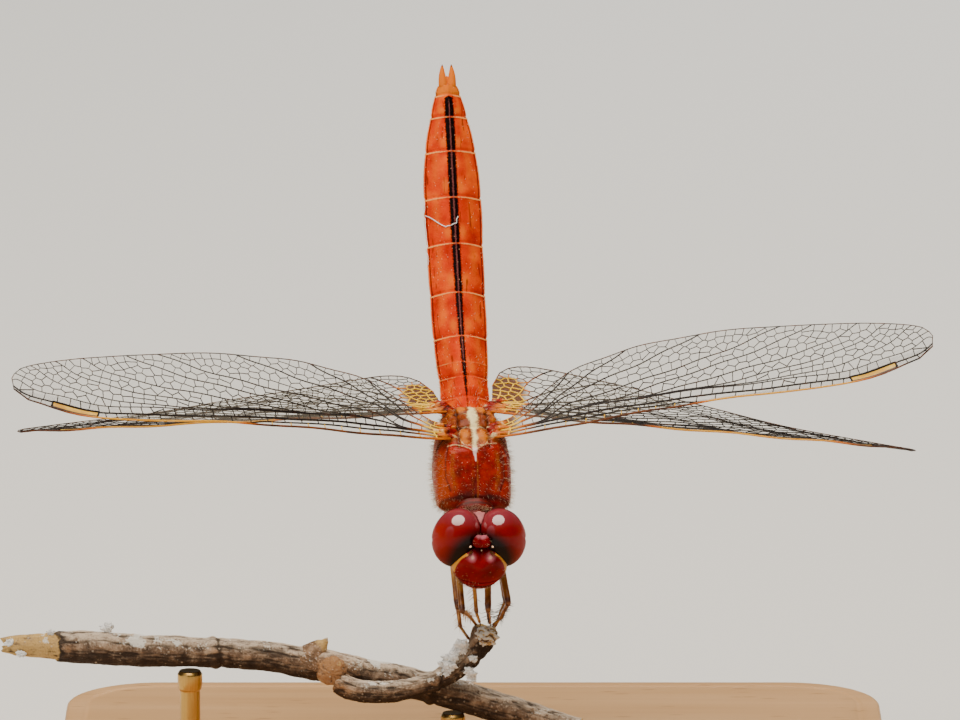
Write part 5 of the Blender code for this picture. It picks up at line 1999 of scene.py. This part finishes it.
@dataclass
class Leg:
    """One leg: hip joint, femur, spiny tibia and a jointed foot with two claws."""

    side: str
    hip: tuple[float, float, float]
    knee: tuple[float, float, float]
    ankle: tuple[float, float, float]
    toe: tuple[float, float, float]
    spines: Bristles
    # how pale the leg's stripe is, painted paler on the lit right side than on the shaded left
    paleness_and_side_light: float
    seed: int
    claw_places: tuple = ((-0.05, 0.0, 0.0), (0.14, 0.08, 0.0), (0.26, 0.13, 0.05), (0.32, 0.15, 0.16))

    def __post_init__(self) -> None:
        """Takes the joints into the stand's frame."""
        self.hip_place = np.array(STANCE.body() @ Vector(self.hip))
        self.joints = [np.array(place) for place in (self.knee, self.ankle, self.toe)]

    def bowed(self, start: Array, end: Array, bow: float, count: int) -> Array:
        """A path from joint to joint that bows away from the body."""
        middle = (start + end) / 2
        outward = middle - np.array(STANCE.body().translation)
        along = (end - start) / np.linalg.norm(end - start)
        outward -= along * outward.dot(along)
        outward /= np.linalg.norm(outward)
        way, bulge = end - start, outward * bow * 0.85
        return spline([start, start + way * 0.3 + bulge, start + way * 0.7 + bulge, end], count)

    def limb(self, name: str, path: Array, profile: tuple, sides: int, rings: tuple, *nodes: str) -> None:
        """A stretch of leg.

        Args:
            name: The piece's name.
            path: Its middle line.
            profile: Its radius at shares of its length.
            sides: How many sides the mesh has.
            rings: Where the dark rings of its joints are, as shares of its length.
            *nodes: The solid that it stands for.
        """
        share = np.linspace(0, 1, len(path))
        radii = np.interp(share, *zip(*profile))
        points, faces, lengths, turns = tube(path, radii, sides)
        place = lengths / lengths.max()
        dark = sum(bump(place - ring, 0.035) for ring in rings) + np.zeros_like(place)
        pale = self.paleness_and_side_light * (0.55 + 0.45 * np.cos(turns)) * ease(1.0, 0.55, place)
        data = MeshData()
        data.add(points, faces, {"joint": np.clip(dark, 0, 1), "pale": np.clip(pale, 0, 1)})
        data.cast(name, IDENTITY, LEG_CUTICLE, "leg", *nodes)

    def build(self) -> None:
        """Builds the leg."""
        knee, ankle, toe = self.joints
        towards = (knee - self.hip_place) / np.linalg.norm(knee - self.hip_place)
        elbow = self.hip_place + towards * 0.95
        hip = spline([self.hip_place - towards * 0.5, self.hip_place + towards * 0.3, elbow], 8)
        self.limb(f"coxa_{self.side}", hip,
                  ((0, 0.36), (0.4, 0.42), (0.62, 0.4), (0.7, 0.29), (0.78, 0.33), (1, 0.27)), 24, (0.68,))
        femur = self.bowed(elbow, knee, 0.1, 14)
        self.limb(f"femur_{self.side}_skin", femur,
                  ((0, 0.25), (0.06, 0.29), (0.35, 0.3), (0.8, 0.24), (0.93, 0.25), (1, 0.21)), 24,
                  (0.0, 0.97), f"femur_{self.side}")
        tibia = self.bowed(knee, ankle, -0.04, 14)
        self.limb(f"tibia_{self.side}_skin", tibia,
                  ((0, 0.19), (0.06, 0.21), (0.14, 0.17), (0.85, 0.15), (0.95, 0.17), (1, 0.13)), 20,
                  (0.0, 0.98), f"tibia_{self.side}")
        foot = spline([ankle, ankle + (toe - ankle) * 0.5, toe], 14)
        self.limb(f"tarsus_{self.side}_skin", foot,
                  ((0, 0.1), (0.14, 0.125), (0.17, 0.085), (0.2, 0.105), (0.44, 0.125), (0.47, 0.08),
                   (0.5, 0.1), (0.95, 0.115), (1, 0.08)), 16, (0.16, 0.46), f"tarsus_{self.side}")
        self.claws(toe, toe - ankle)
        self.comb(femur, tibia, foot)

    def claws(self, toe: Array, along: Array) -> None:
        """The two hooked claws that hold the twig."""
        along = along / np.linalg.norm(along)
        inward = np.array((0.3, -0.8, 14.3)) - toe
        inward -= along * inward.dot(along)
        inward /= np.linalg.norm(inward) + 1e-9
        across = np.cross(along, inward)
        data = MeshData()
        for sign in (1, -1):
            rows = [toe + along * a + across * b * sign + inward * c for a, b, c in self.claw_places]
            path = spline(rows, 5)
            data.add(*tube(path, 0.055 * np.linspace(1, 0.15, len(path)), 8)[:2], {"joint": 0.9, "pale": 0.0})
        data.cast(f"claws_{self.side}", IDENTITY, LEG_CUTICLE, "leg")

    def comb(self, femur: Array, tibia: Array, foot: Array) -> None:
        """The spines: short along the femur, long in two rows along the tibia, and fine along the foot."""
        chance = random.Random(self.seed)
        data = MeshData()
        for path, count, low, high, radius, body_radius in (
            (femur, 26, 0.18, 0.38, 0.02, 0.2),
            (tibia, 30, 0.45, 0.9, 0.03, 0.12),
            (foot, 26, 0.12, 0.24, 0.014, 0.09),
        ):
            tangents = np.gradient(path, axis=0)
            for k in range(count):
                at = (k + 0.5) / count * (len(path) - 1)
                i = int(at)
                centre = path[i] + (path[i + 1] - path[i]) * (at - i)
                along = tangents[i] / np.linalg.norm(tangents[i])
                side = np.array(Vector(along).orthogonal().normalized())
                across = np.cross(along, side)
                turn = math.radians(
                    (35 if k % 2 else 145) + chance.uniform(-12, 12) + (180 if k % 5 == 4 else 0)
                )
                out = side * math.cos(turn) + across * math.sin(turn)
                share = k / count
                length = chance.uniform(low, high) * (1 - 0.35 * abs(share - 0.45))
                place = centre + out * body_radius * 0.8
                data.add(*bristle(place, out + along * 0.75, length, radius, None, 4),
                         patch=(0.1 + 0.8 * share, 0.5 + 0.2 * math.sin(turn)))
        put(data.build(f"spines_{self.side}", IDENTITY, self.spines), "leg")


@dataclass
class Legs:
    """The six legs, gathered on the tip of the side twig: each one's hip, knee, ankle and toe."""

    joints: tuple = (
        ("fore_left", (1.0, -2.3, -3.2), (1.11, -3.97, 16.5), (1.18, -1.8, 15.3), (1.25, -1.05, 14.8)),
        ("middle_left", (1.35, -1.1, -3.5), (2.61, -2.98, 16.76), (2.05, -0.8, 15.1), (1.5, -0.35, 14.5)),
        ("hind_left", (1.4, 0.1, -3.6), (2.44, 0.0, 16.2), (1.9, 0.9, 14.6), (1.34, 0.42, 13.65)),
        ("fore_right", (-0.8, -2.3, -3.2), (0.0, -2.4, 19.0), (0.25, -1.5, 15.7), (0.5, -1.05, 14.85)),
        ("middle_right", (-1.15, -1.1, -3.5), (-0.8, -3.95, 16.4), (-0.2, -1.2, 15.3), (0.2, -0.4, 14.55)),
        ("hind_right", (-1.5, 0.1, -3.6), (-1.15, -2.5, 16.4), (-0.95, -0.5, 14.4), (-0.32, -0.4, 13.45)),
    )
    first_seed: int = 40

    def build(self) -> None:
        """Builds the legs, with painted light: the right ones, on the lit side, are paler with gold spines,
        the left darker.
        """
        for seed, (side, *places) in enumerate(self.joints, self.first_seed):
            # the right legs, on the lit side, get golden spines and more pale as painted light; the left, in
            # shade, dark spines
            looks = (SHADED_SIDE_SPINES, 0.45) if side.endswith("left") else (LIT_SIDE_SPINES, 0.75)
            Leg(side, *places, *looks, seed).build()


# ---------------------------------------------------------------- perch


@dataclass
class Perch:
    """The dead twig: its ridged bark, node scars, snapped end, stub, knot and shreds of plant down."""

    main: tuple = (
        (-34.7, -1.2, 13.15, 0.75), (-33.75, -1.2, 13.15, 0.95), (-31.7, -1.2, 13.1, 1.1),
        (-29.1, -1.2, 13.0, 1.22), (-25.2, -1.25, 12.8, 1.22), (-20.3, -1.3, 12.65, 1.15),
        (-15.8, -1.35, 12.4, 1.12), (-12.9, -1.25, 11.9, 1.2), (-9.85, -0.9, 11.3, 1.2),
        (-7.3, -0.3, 10.6, 1.18), (-4.7, 0.35, 9.9, 1.18), (-1.4, 0.7, 8.95, 1.18), (3.5, 0.9, 7.35, 1.15),
        (7.9, 1.0, 5.95, 1.1),
    )
    side: tuple = (
        (-10.0, -2.0, 10.5, 0.8), (-9.1, -2.4, 10.15, 0.88), (-7.6, -2.6, 9.95, 0.88),
        (-5.8, -2.3, 9.9, 0.82), (-3.9, -1.75, 10.2, 0.78), (-2.2, -1.25, 10.7, 0.76),
        (-1.1, -0.9, 11.3, 0.76), (-0.35, -0.65, 11.95, 0.78), (0.3, -0.5, 12.65, 0.82),
        (0.75, -0.4, 13.45, 0.9), (0.9, -0.33, 14.1, 0.9), (0.97, -0.3, 14.42, 0.74),
    )
    knot_centre: tuple = (-10.45, -1.9, 11.35)
    knot_radii: tuple = (1.15, 0.95, 1.1)
    tip_centre: tuple = (1.03, -0.98, 13.8)
    tip_radii: tuple = (0.82, 0.72, 0.72)
    main_scars: tuple = (-19.2, -3.2)
    side_scars: tuple = (-2.6, 0.1)
    down_seed: int = 8
    drift: int = 44
    fibres: int = 14

    def bark_grid(self, rows: tuple, sides: int, steps: int) -> tuple[Array, Array, Array]:
        """A plain tube along a twig's stations, as a grid, with its distances and angles."""
        stations = spline(rows, steps)
        points, _, lengths, turns = tube(stations[:, :3], stations[:, 3], sides)
        count = len(stations)
        columns = (points, lengths, turns)
        return tuple(np.array(column[:-2]).reshape(count, sides, -1).squeeze() for column in columns)

    def twig(self, name: str, node: str, rows: tuple, sides: int, steps: int, scars: tuple,
             ends: tuple) -> None:
        """A length of twig with its bark in relief.

        Args:
            name: The piece's name.
            node: The solid that it stands for.
            rows: The twig's stations: place and radius.
            sides: How many sides the mesh has.
            steps: How many rings there are between stations.
            scars: Where along X the old leaf scars ring it.
            ends: How ragged the start and the end are, in millimetres.
        """
        grid, along, turns = self.bark_grid(rows, sides, steps)
        normals = grid_normals(grid)
        x, upward = grid[..., 0], normals[..., 2]
        wander = fractal(grid, 2.2, 2)
        fine = fractal(grid * (0.45, 1.0, 1.0), 0.35, 3)
        ribs = np.cos(turns * 9 + 2.4 * wander) * 0.6 + np.cos(turns * 23 + 4 * wander) * 0.4
        crack = ease(0.25, 0.55, np.abs(fractal(grid * (0.22, 1.0, 1.0), 0.5, 2)))
        past = [x - scar + 0.15 * np.cos(turns + scar) for scar in scars]
        ring = sum(bump(place, 0.28) for place in past)
        step = sum(bump(place - 0.42, 0.14) for place in past)
        bare = ease(-30.5, -30.8, x + 0.5 * wander + 0.25 * fine) * (ends[0] > 0)
        relief = 0.025 * ribs + 0.05 * fine + 0.08 * wander - 0.035 * crack + 0.12 * ring - 0.08 * step - 0.04
        relief = relief * (1 - 0.45 * bare) - 0.14 * bare
        length = along.max()
        torn = ends[0] * ease(0.8, 0.0, along) + ends[1] * ease(length - 0.5, length, along)
        grid = grid + relief[..., None] * normals
        way = np.gradient(grid.mean(axis=1), axis=0)
        way /= np.linalg.norm(way, axis=1)[:, None]
        ragged = torn * (0.5 * np.cos(turns * 3 + 1) + 0.5 * fractal(grid * (0.1, 3.0, 3.0), 0.8, 2))
        grid = grid + way[:, None, :] * ragged[..., None]
        scurf = ease(0.15, 0.6, fractal(grid + 7.0, 1.3, 3)) * ease(0.0, 0.8, upward + 0.25)
        frost = ease(-0.25, 0.3, fractal(grid + 3.0, 0.9, 4)) * (
            bump(x + 24.6, 1.3) * ease(0.1, 0.7, upward)
            + bump(x + 22.3, 0.7) * ease(0.2, 0.7, -normals[..., 1]) * ease(-0.3, 0.3, upward)
            + bump(x + 31.6, 0.5) * ease(0.2, 0.8, upward)
            + bump(x + 7.0, 1.2) * ease(0.4, 0.9, upward))
        fields = {
            "tan": np.clip(0.4 * ease(0.0, 0.8, fine) + 0.7 * bump(x + 10.5, 1.6) + 0.3 * ring, 0, 1),
            # Besides the furrows, cracks and scar steps, the upward term paints shade on the underside.
            "furrow": np.clip(0.5 * ease(0.0, -0.9, ribs + 0.6 * fine) + 0.55 * crack + 0.8 * step
                              + 0.85 * ease(0.3, -0.7, upward) + 0.5 * ease(-1.0, 0.2, x) * (ends[0] == 0)
                              * ease(-0.3, 0.4, fine)
                              + bump(x + 30.6 + 0.5 * wander + 0.25 * fine, 0.2), 0, 1),
            "wood": np.clip(bare * (0.75 + 0.5 * fine) + ease(length - 0.25, length, along), 0, 1),
            # painted light on the upward-facing top
            "painted_sunlit_top": ease(0.1, 0.98, upward) * (0.75 + 0.5 * fine) * (1 - bare),
            "scurf": np.clip(0.35 * scurf + frost, 0, 1),
        }
        wrapped(grid, fields).cast(name, IDENTITY, BARK, "twig", node)

    def knot(self) -> None:
        """The swollen knot where the side twig leaves, ridged like a healed scar."""
        obj = ball("twig_knot", self.knot_centre, self.knot_radii, IDENTITY, 96, 72)
        points = local_points(obj, IDENTITY)
        rel = (points - np.array(self.knot_centre)) / np.array(self.knot_radii)
        rough = fractal(points, 0.7, 4)
        folds = np.cos(9 * np.arctan2(rel[:, 2], rel[:, 0]) + 3 * rough)
        size = 1.0 + 0.1 * rough + 0.012 * folds
        centre = np.array(self.knot_centre)
        set_points(obj, centre + (points - centre) * size[:, None], IDENTITY)
        dress(obj, {
            "tan": ease(-1.2, 0.1, rough), "furrow": ease(-0.4, -1.2, folds + rough) * 0.5,
            "wood": 0.7 * ease(0.35, 0.75, rough), "scurf": 0.1 * ease(0.3, 0.7, rel[:, 2]),
        }, BARK, "twig", "perch_knot")

    def stub(self) -> None:
        """The dead spine of a lost bud, standing on the knot's side."""
        rows = ((-12.1, -1.1, 11.9), (-11.6, -1.1, 12.7), (-11.05, -1.1, 13.3), (-10.8, -1.1, 13.7))
        path = spline(rows, 8)
        radii = np.interp(np.linspace(0, 1, len(path)), (0, 0.35, 0.7, 1), (1.5, 0.85, 0.28, 0.04))
        points, faces, lengths, _ = tube(path, radii, 28)
        rough = fractal(np.array(points), 0.4, 3)
        data = MeshData()
        data.add(np.array(points) + 0.05 * rough[:, None], faces, {
            "tan": 0.35, "furrow": ease(0.1, 0.6, rough) * 0.6,
            "wood": 0.75 * ease(1.0, 1.7, lengths), "scurf": 0.2,
        })
        data.cast("bud_stub", IDENTITY, BARK, "twig")

    def tip(self) -> None:
        """The pale torn wood at the very end of the side twig, which the feet hold."""
        obj = ball("twig_tip_wood", self.tip_centre, self.tip_radii, IDENTITY, 72, 54)
        points, centre = local_points(obj, IDENTITY), np.array(self.tip_centre)
        rough = fractal(points * (1.0, 1.0, 1.6), 0.42, 4)
        points = centre + (points - centre) * (1 + 0.28 * rough)[:, None]
        set_points(obj, points, IDENTITY)
        dress(obj, {
            "tan": np.full_like(rough, 0.5), "furrow": ease(0.15, 0.6, -rough),
            "wood": ease(-0.4, 0.1, rough), "scurf": 0.35 + 0.6 * ease(-0.05, 0.3, rough),
        }, BARK, "twig")

    def down(self) -> None:
        """Shreds of white plant down caught on the twig: small matted lobes, each with a few loose fibres."""
        chance = random.Random(self.down_seed)
        data = MeshData()
        shreds = [(-27.1, -1.35, 14.55, 0.38), (-31.3, -1.5, 14.2, 0.24), (-34.3, -1.75, 13.5, 0.28),
                 (-33.5, -2.1, 12.7, 0.26), (-0.35, -1.55, 11.3, 0.32), (-0.1, -1.55, 10.95, 0.34),
                 (-0.15, -1.5, 10.5, 0.28), (0.0, -1.5, 12.2, 0.26)]
        for share in np.linspace(0, 1, self.drift):
            place = np.array((-2.35, -1.95, 11.35)) * (1 - share) + np.array((-0.75, -1.35, 13.3)) * share
            spread = 0.5 * (1 - 0.5 * share)
            place = place + [chance.gauss(0, spread * 0.6), chance.gauss(0, 0.15),
                             chance.gauss(0, spread * 0.5)]
            shreds.append((*place, chance.uniform(0.1, 0.32)))
        tilts = np.linspace(0, math.pi, 18, endpoint=False)[1:, None]
        turns = np.linspace(0, 2 * math.pi, 28, endpoint=False)[None, :]
        globe = np.stack([np.sin(tilts) * np.cos(turns), np.sin(tilts) * np.sin(turns),
                          np.cos(tilts) * np.ones_like(turns)], axis=-1)
        for x, y, z, size in shreds:
            centre = np.array((x, y, z))
            swell = 1 + 1.1 * fractal(globe * 1.6 + centre * 3, 1.0, 4)
            lump = wrapped(centre + globe * (1.0, 0.5, 0.8) * size * swell[..., None], {})
            data.add(lump.points, lump.faces)
            for _ in range(self.fibres):
                unit = np.array([chance.gauss(0, 1) for _ in "xyz"])
                unit /= np.linalg.norm(unit)
                drop = jitter(chance, 0.3) * size
                length = size * chance.uniform(0.8, 1.5)
                data.add(*bristle(centre + unit * size * 0.6, unit, length, 0.014, drop))
        data.cast("plant_down", IDENTITY, DOWN, "twig")

    def build(self) -> None:
        """Builds every piece of the perch."""
        self.twig("main_twig", "perch_main_twig", self.main, 128, 34, self.main_scars, (0.5, 0.1))
        self.twig("side_twig", "perch_side_twig", self.side, 96, 18, self.side_scars, (0.0, 0.08))
        self.knot()
        self.stub()
        self.tip()
        self.down()


# ---------------------------------------------------------------- stand


@dataclass
class Stand:
    """The display stand: a rounded beech plate and two brass rods, each with a foot ferrule and a cup."""

    width: float = 62.0
    depth: float = 54.0
    thickness: float = 3.5
    corner: float = 7.0
    edge: float = 0.48
    groove_inset: float = 1.4
    groove_width: float = 0.25
    groove_depth: float = 0.18
    rod_radius: float = 0.75
    ferrule_radius: float = 1.55
    cup_radius: float = 0.92

    def plate(self) -> None:
        """The plate, from a cube: corners rounded, a fine groove round the top, edges eased."""
        deselect()
        bpy.ops.mesh.primitive_cube_add(size=1.0)
        obj = bpy.context.object
        obj.name = obj.data.name = "beech_plate"
        obj.scale = (self.width * MM, self.depth * MM, self.thickness * MM)
        obj.location = (0, 0, self.thickness * MM / 2)
        apply_place(obj)
        bpy.ops.object.mode_set(mode="EDIT")
        bpy.ops.mesh.select_mode(type="EDGE")
        bpy.ops.mesh.select_all(action="DESELECT")
        bpy.ops.object.mode_set(mode="OBJECT")
        for line in obj.data.edges:
            a, b = (obj.data.vertices[i].co for i in line.vertices)
            line.select = abs(a.z - b.z) > self.thickness * MM / 2
        bpy.ops.object.mode_set(mode="EDIT")
        bpy.ops.mesh.bevel(offset=self.corner * MM, segments=16, affect="EDGES")
        bpy.ops.object.mode_set(mode="OBJECT")
        select_where(obj, lambda face: face.normal.z > 0.9)
        bpy.ops.mesh.inset(thickness=self.groove_inset * MM)
        for way in (-1, 1):
            bpy.ops.mesh.inset(thickness=self.groove_width * MM, depth=self.groove_depth * way * MM)
        bpy.ops.object.mode_set(mode="OBJECT")
        modify(obj, "BEVEL", width=self.edge * MM, segments=3,
               limit_method="ANGLE", angle_limit=math.radians(60))
        dress(obj, {}, Wood(), "base", "stand_base", shading=Shading.BY_ANGLE)

    def rod(self, name: str, node: str) -> None:
        """A rod with its foot ferrule and the cup under the twig, turned from one outline.

        Args:
            name: The piece's name.
            node: The solid rod, whose box gives its place and height.
        """
        low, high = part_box(node)
        x, y = (low.x + high.x) / 2 / MM, (low.y + high.y) / 2 / MM
        bottom, top = low.z / MM - 0.04, high.z / MM
        outline = (
            (0.02, bottom), (self.ferrule_radius, bottom), (self.ferrule_radius, bottom + 0.5),
            (self.ferrule_radius - 0.3, bottom + 0.8), (self.rod_radius + 0.22, bottom + 0.95),
            (self.rod_radius + 0.18, bottom + 1.5), (self.rod_radius, bottom + 1.65),
            (self.rod_radius, top - 1.5),
            (self.rod_radius + 0.1, top - 1.4), (self.cup_radius, top - 0.9), (self.cup_radius, top - 0.25),
            (self.cup_radius - 0.15, top), (0.02, top - 0.1),
        )
        angles = np.linspace(0, 2 * math.pi, 64, endpoint=False)
        grid = np.array([[(x + r * math.cos(a), y + r * math.sin(a), z) for a in angles] for r, z in outline])
        obj = recalculated(wrapped(grid, {}).build(name, IDENTITY, Brass(), Shading.BY_ANGLE))
        modify(obj, "BEVEL", width=0.05 * MM, segments=2, limit_method="ANGLE", angle_limit=math.radians(30))
        put(obj, "rod", node)

    def build(self) -> None:
        """Builds the plate and the rods."""
        self.plate()
        self.rod("brass_rod_left", "stand_rod_left")
        self.rod("brass_rod_right", "stand_rod_right")


# ---------------------------------------------------------------- studio


@dataclass
class Studio:
    """The camera, the pale paper floor and the soft lights."""

    lens: float = 400.0
    sensor: float = 36.0
    distance: float = 789.33
    elevation: float = 12.0
    aside: float = 0.666
    above: float = 7.4
    floor_size: float = 9000.0

    def camera(self) -> None:
        """A long lens, low in front of the insect, aimed a little above its thorax."""
        tilt = math.radians(self.elevation)
        up = Vector((0, math.sin(tilt), math.cos(tilt)))
        towards = Vector((0, -math.cos(tilt), math.sin(tilt)))
        target = STANCE.body().translation + Vector((self.aside, 0, 0)) + up * self.above
        deselect()
        bpy.ops.object.camera_add(location=(target + towards * self.distance) * MM,
                                  rotation=(math.radians(90) - tilt, 0, 0))
        camera = bpy.context.object
        camera.name = "studio_camera"
        camera.data.lens = self.lens
        camera.data.sensor_width = self.sensor
        camera.data.clip_start, camera.data.clip_end = 0.05, 10.0
        bpy.context.scene.camera = camera

    def floor(self) -> None:
        """The paper: one wide flat sheet under the stand."""
        deselect()
        bpy.ops.mesh.primitive_plane_add(size=self.floor_size * MM, location=(0, 0, -0.02 * MM))
        obj = bpy.context.object
        obj.name = obj.data.name = "paper_floor"
        apply_place(obj)
        obj.data.materials.append(material_of(Paper()))

    def light(self, name: str, direction: tuple, distance: float, size: float, power: float, colour: str,
              mirrored: bool = True) -> None:
        """A round soft light that faces the insect.

        Args:
            name: The light's name.
            direction: Where it stands, seen from the insect.
            distance: How far away it is, in millimetres.
            size: Its width, in millimetres.
            power: Its power in watts.
            colour: Its colour.
            mirrored: Whether glossy surfaces show it.
        """
        away = Vector(direction).normalized()
        place = STANCE.body().translation + away * distance
        deselect()
        facing = away.to_track_quat("Z", "Y").to_euler()
        bpy.ops.object.light_add(type="AREA", location=place * MM, rotation=facing)
        lamp = bpy.context.object
        lamp.name = name
        lamp.data.shape = "DISK"
        lamp.data.size = size * MM
        lamp.data.energy = power
        lamp.data.color = linear(colour)[:3]
        lamp.visible_glossy = mirrored

    def lights(self) -> None:
        """A key overhead, a broad fill from the front left, a rim from behind, and a pale sky all round."""
        self.light("key_softbox", (-0.12, -0.29, 0.95), 420, 480, 3.7, "#FFF4E4")
        self.light("fill_softbox", (-0.75, -0.62, 0.2), 1100, 900, 2.2, "#F2F6FF")
        self.light("back_softbox", (0.25, 0.75, 0.62), 620, 400, 3.0, "#FFFFFF", False)
        world = bpy.data.worlds.new("soft_sky")
        bpy.context.scene.world = world
        world.use_nodes = True
        sky = world.node_tree.nodes["Background"]
        sky.inputs["Color"].default_value = linear("#E6EAEE")
        sky.inputs["Strength"].default_value = 0.09

    def build(self) -> None:
        """Sets up the floor and the lights."""
        self.floor()
        self.lights()


def main() -> None:
    """Builds the whole scene, the camera first."""
    logging.basicConfig(level=logging.INFO, format="%(message)s")
    studio = Studio()
    studio.camera()
    for assembly in (Abdomen, Thorax, Head, Wings, Legs, Perch, Stand):
        log.info("building %s", assembly.__name__.lower())
        assembly().build()
    studio.build()
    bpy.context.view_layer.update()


if __name__ == "__main__":
    main()
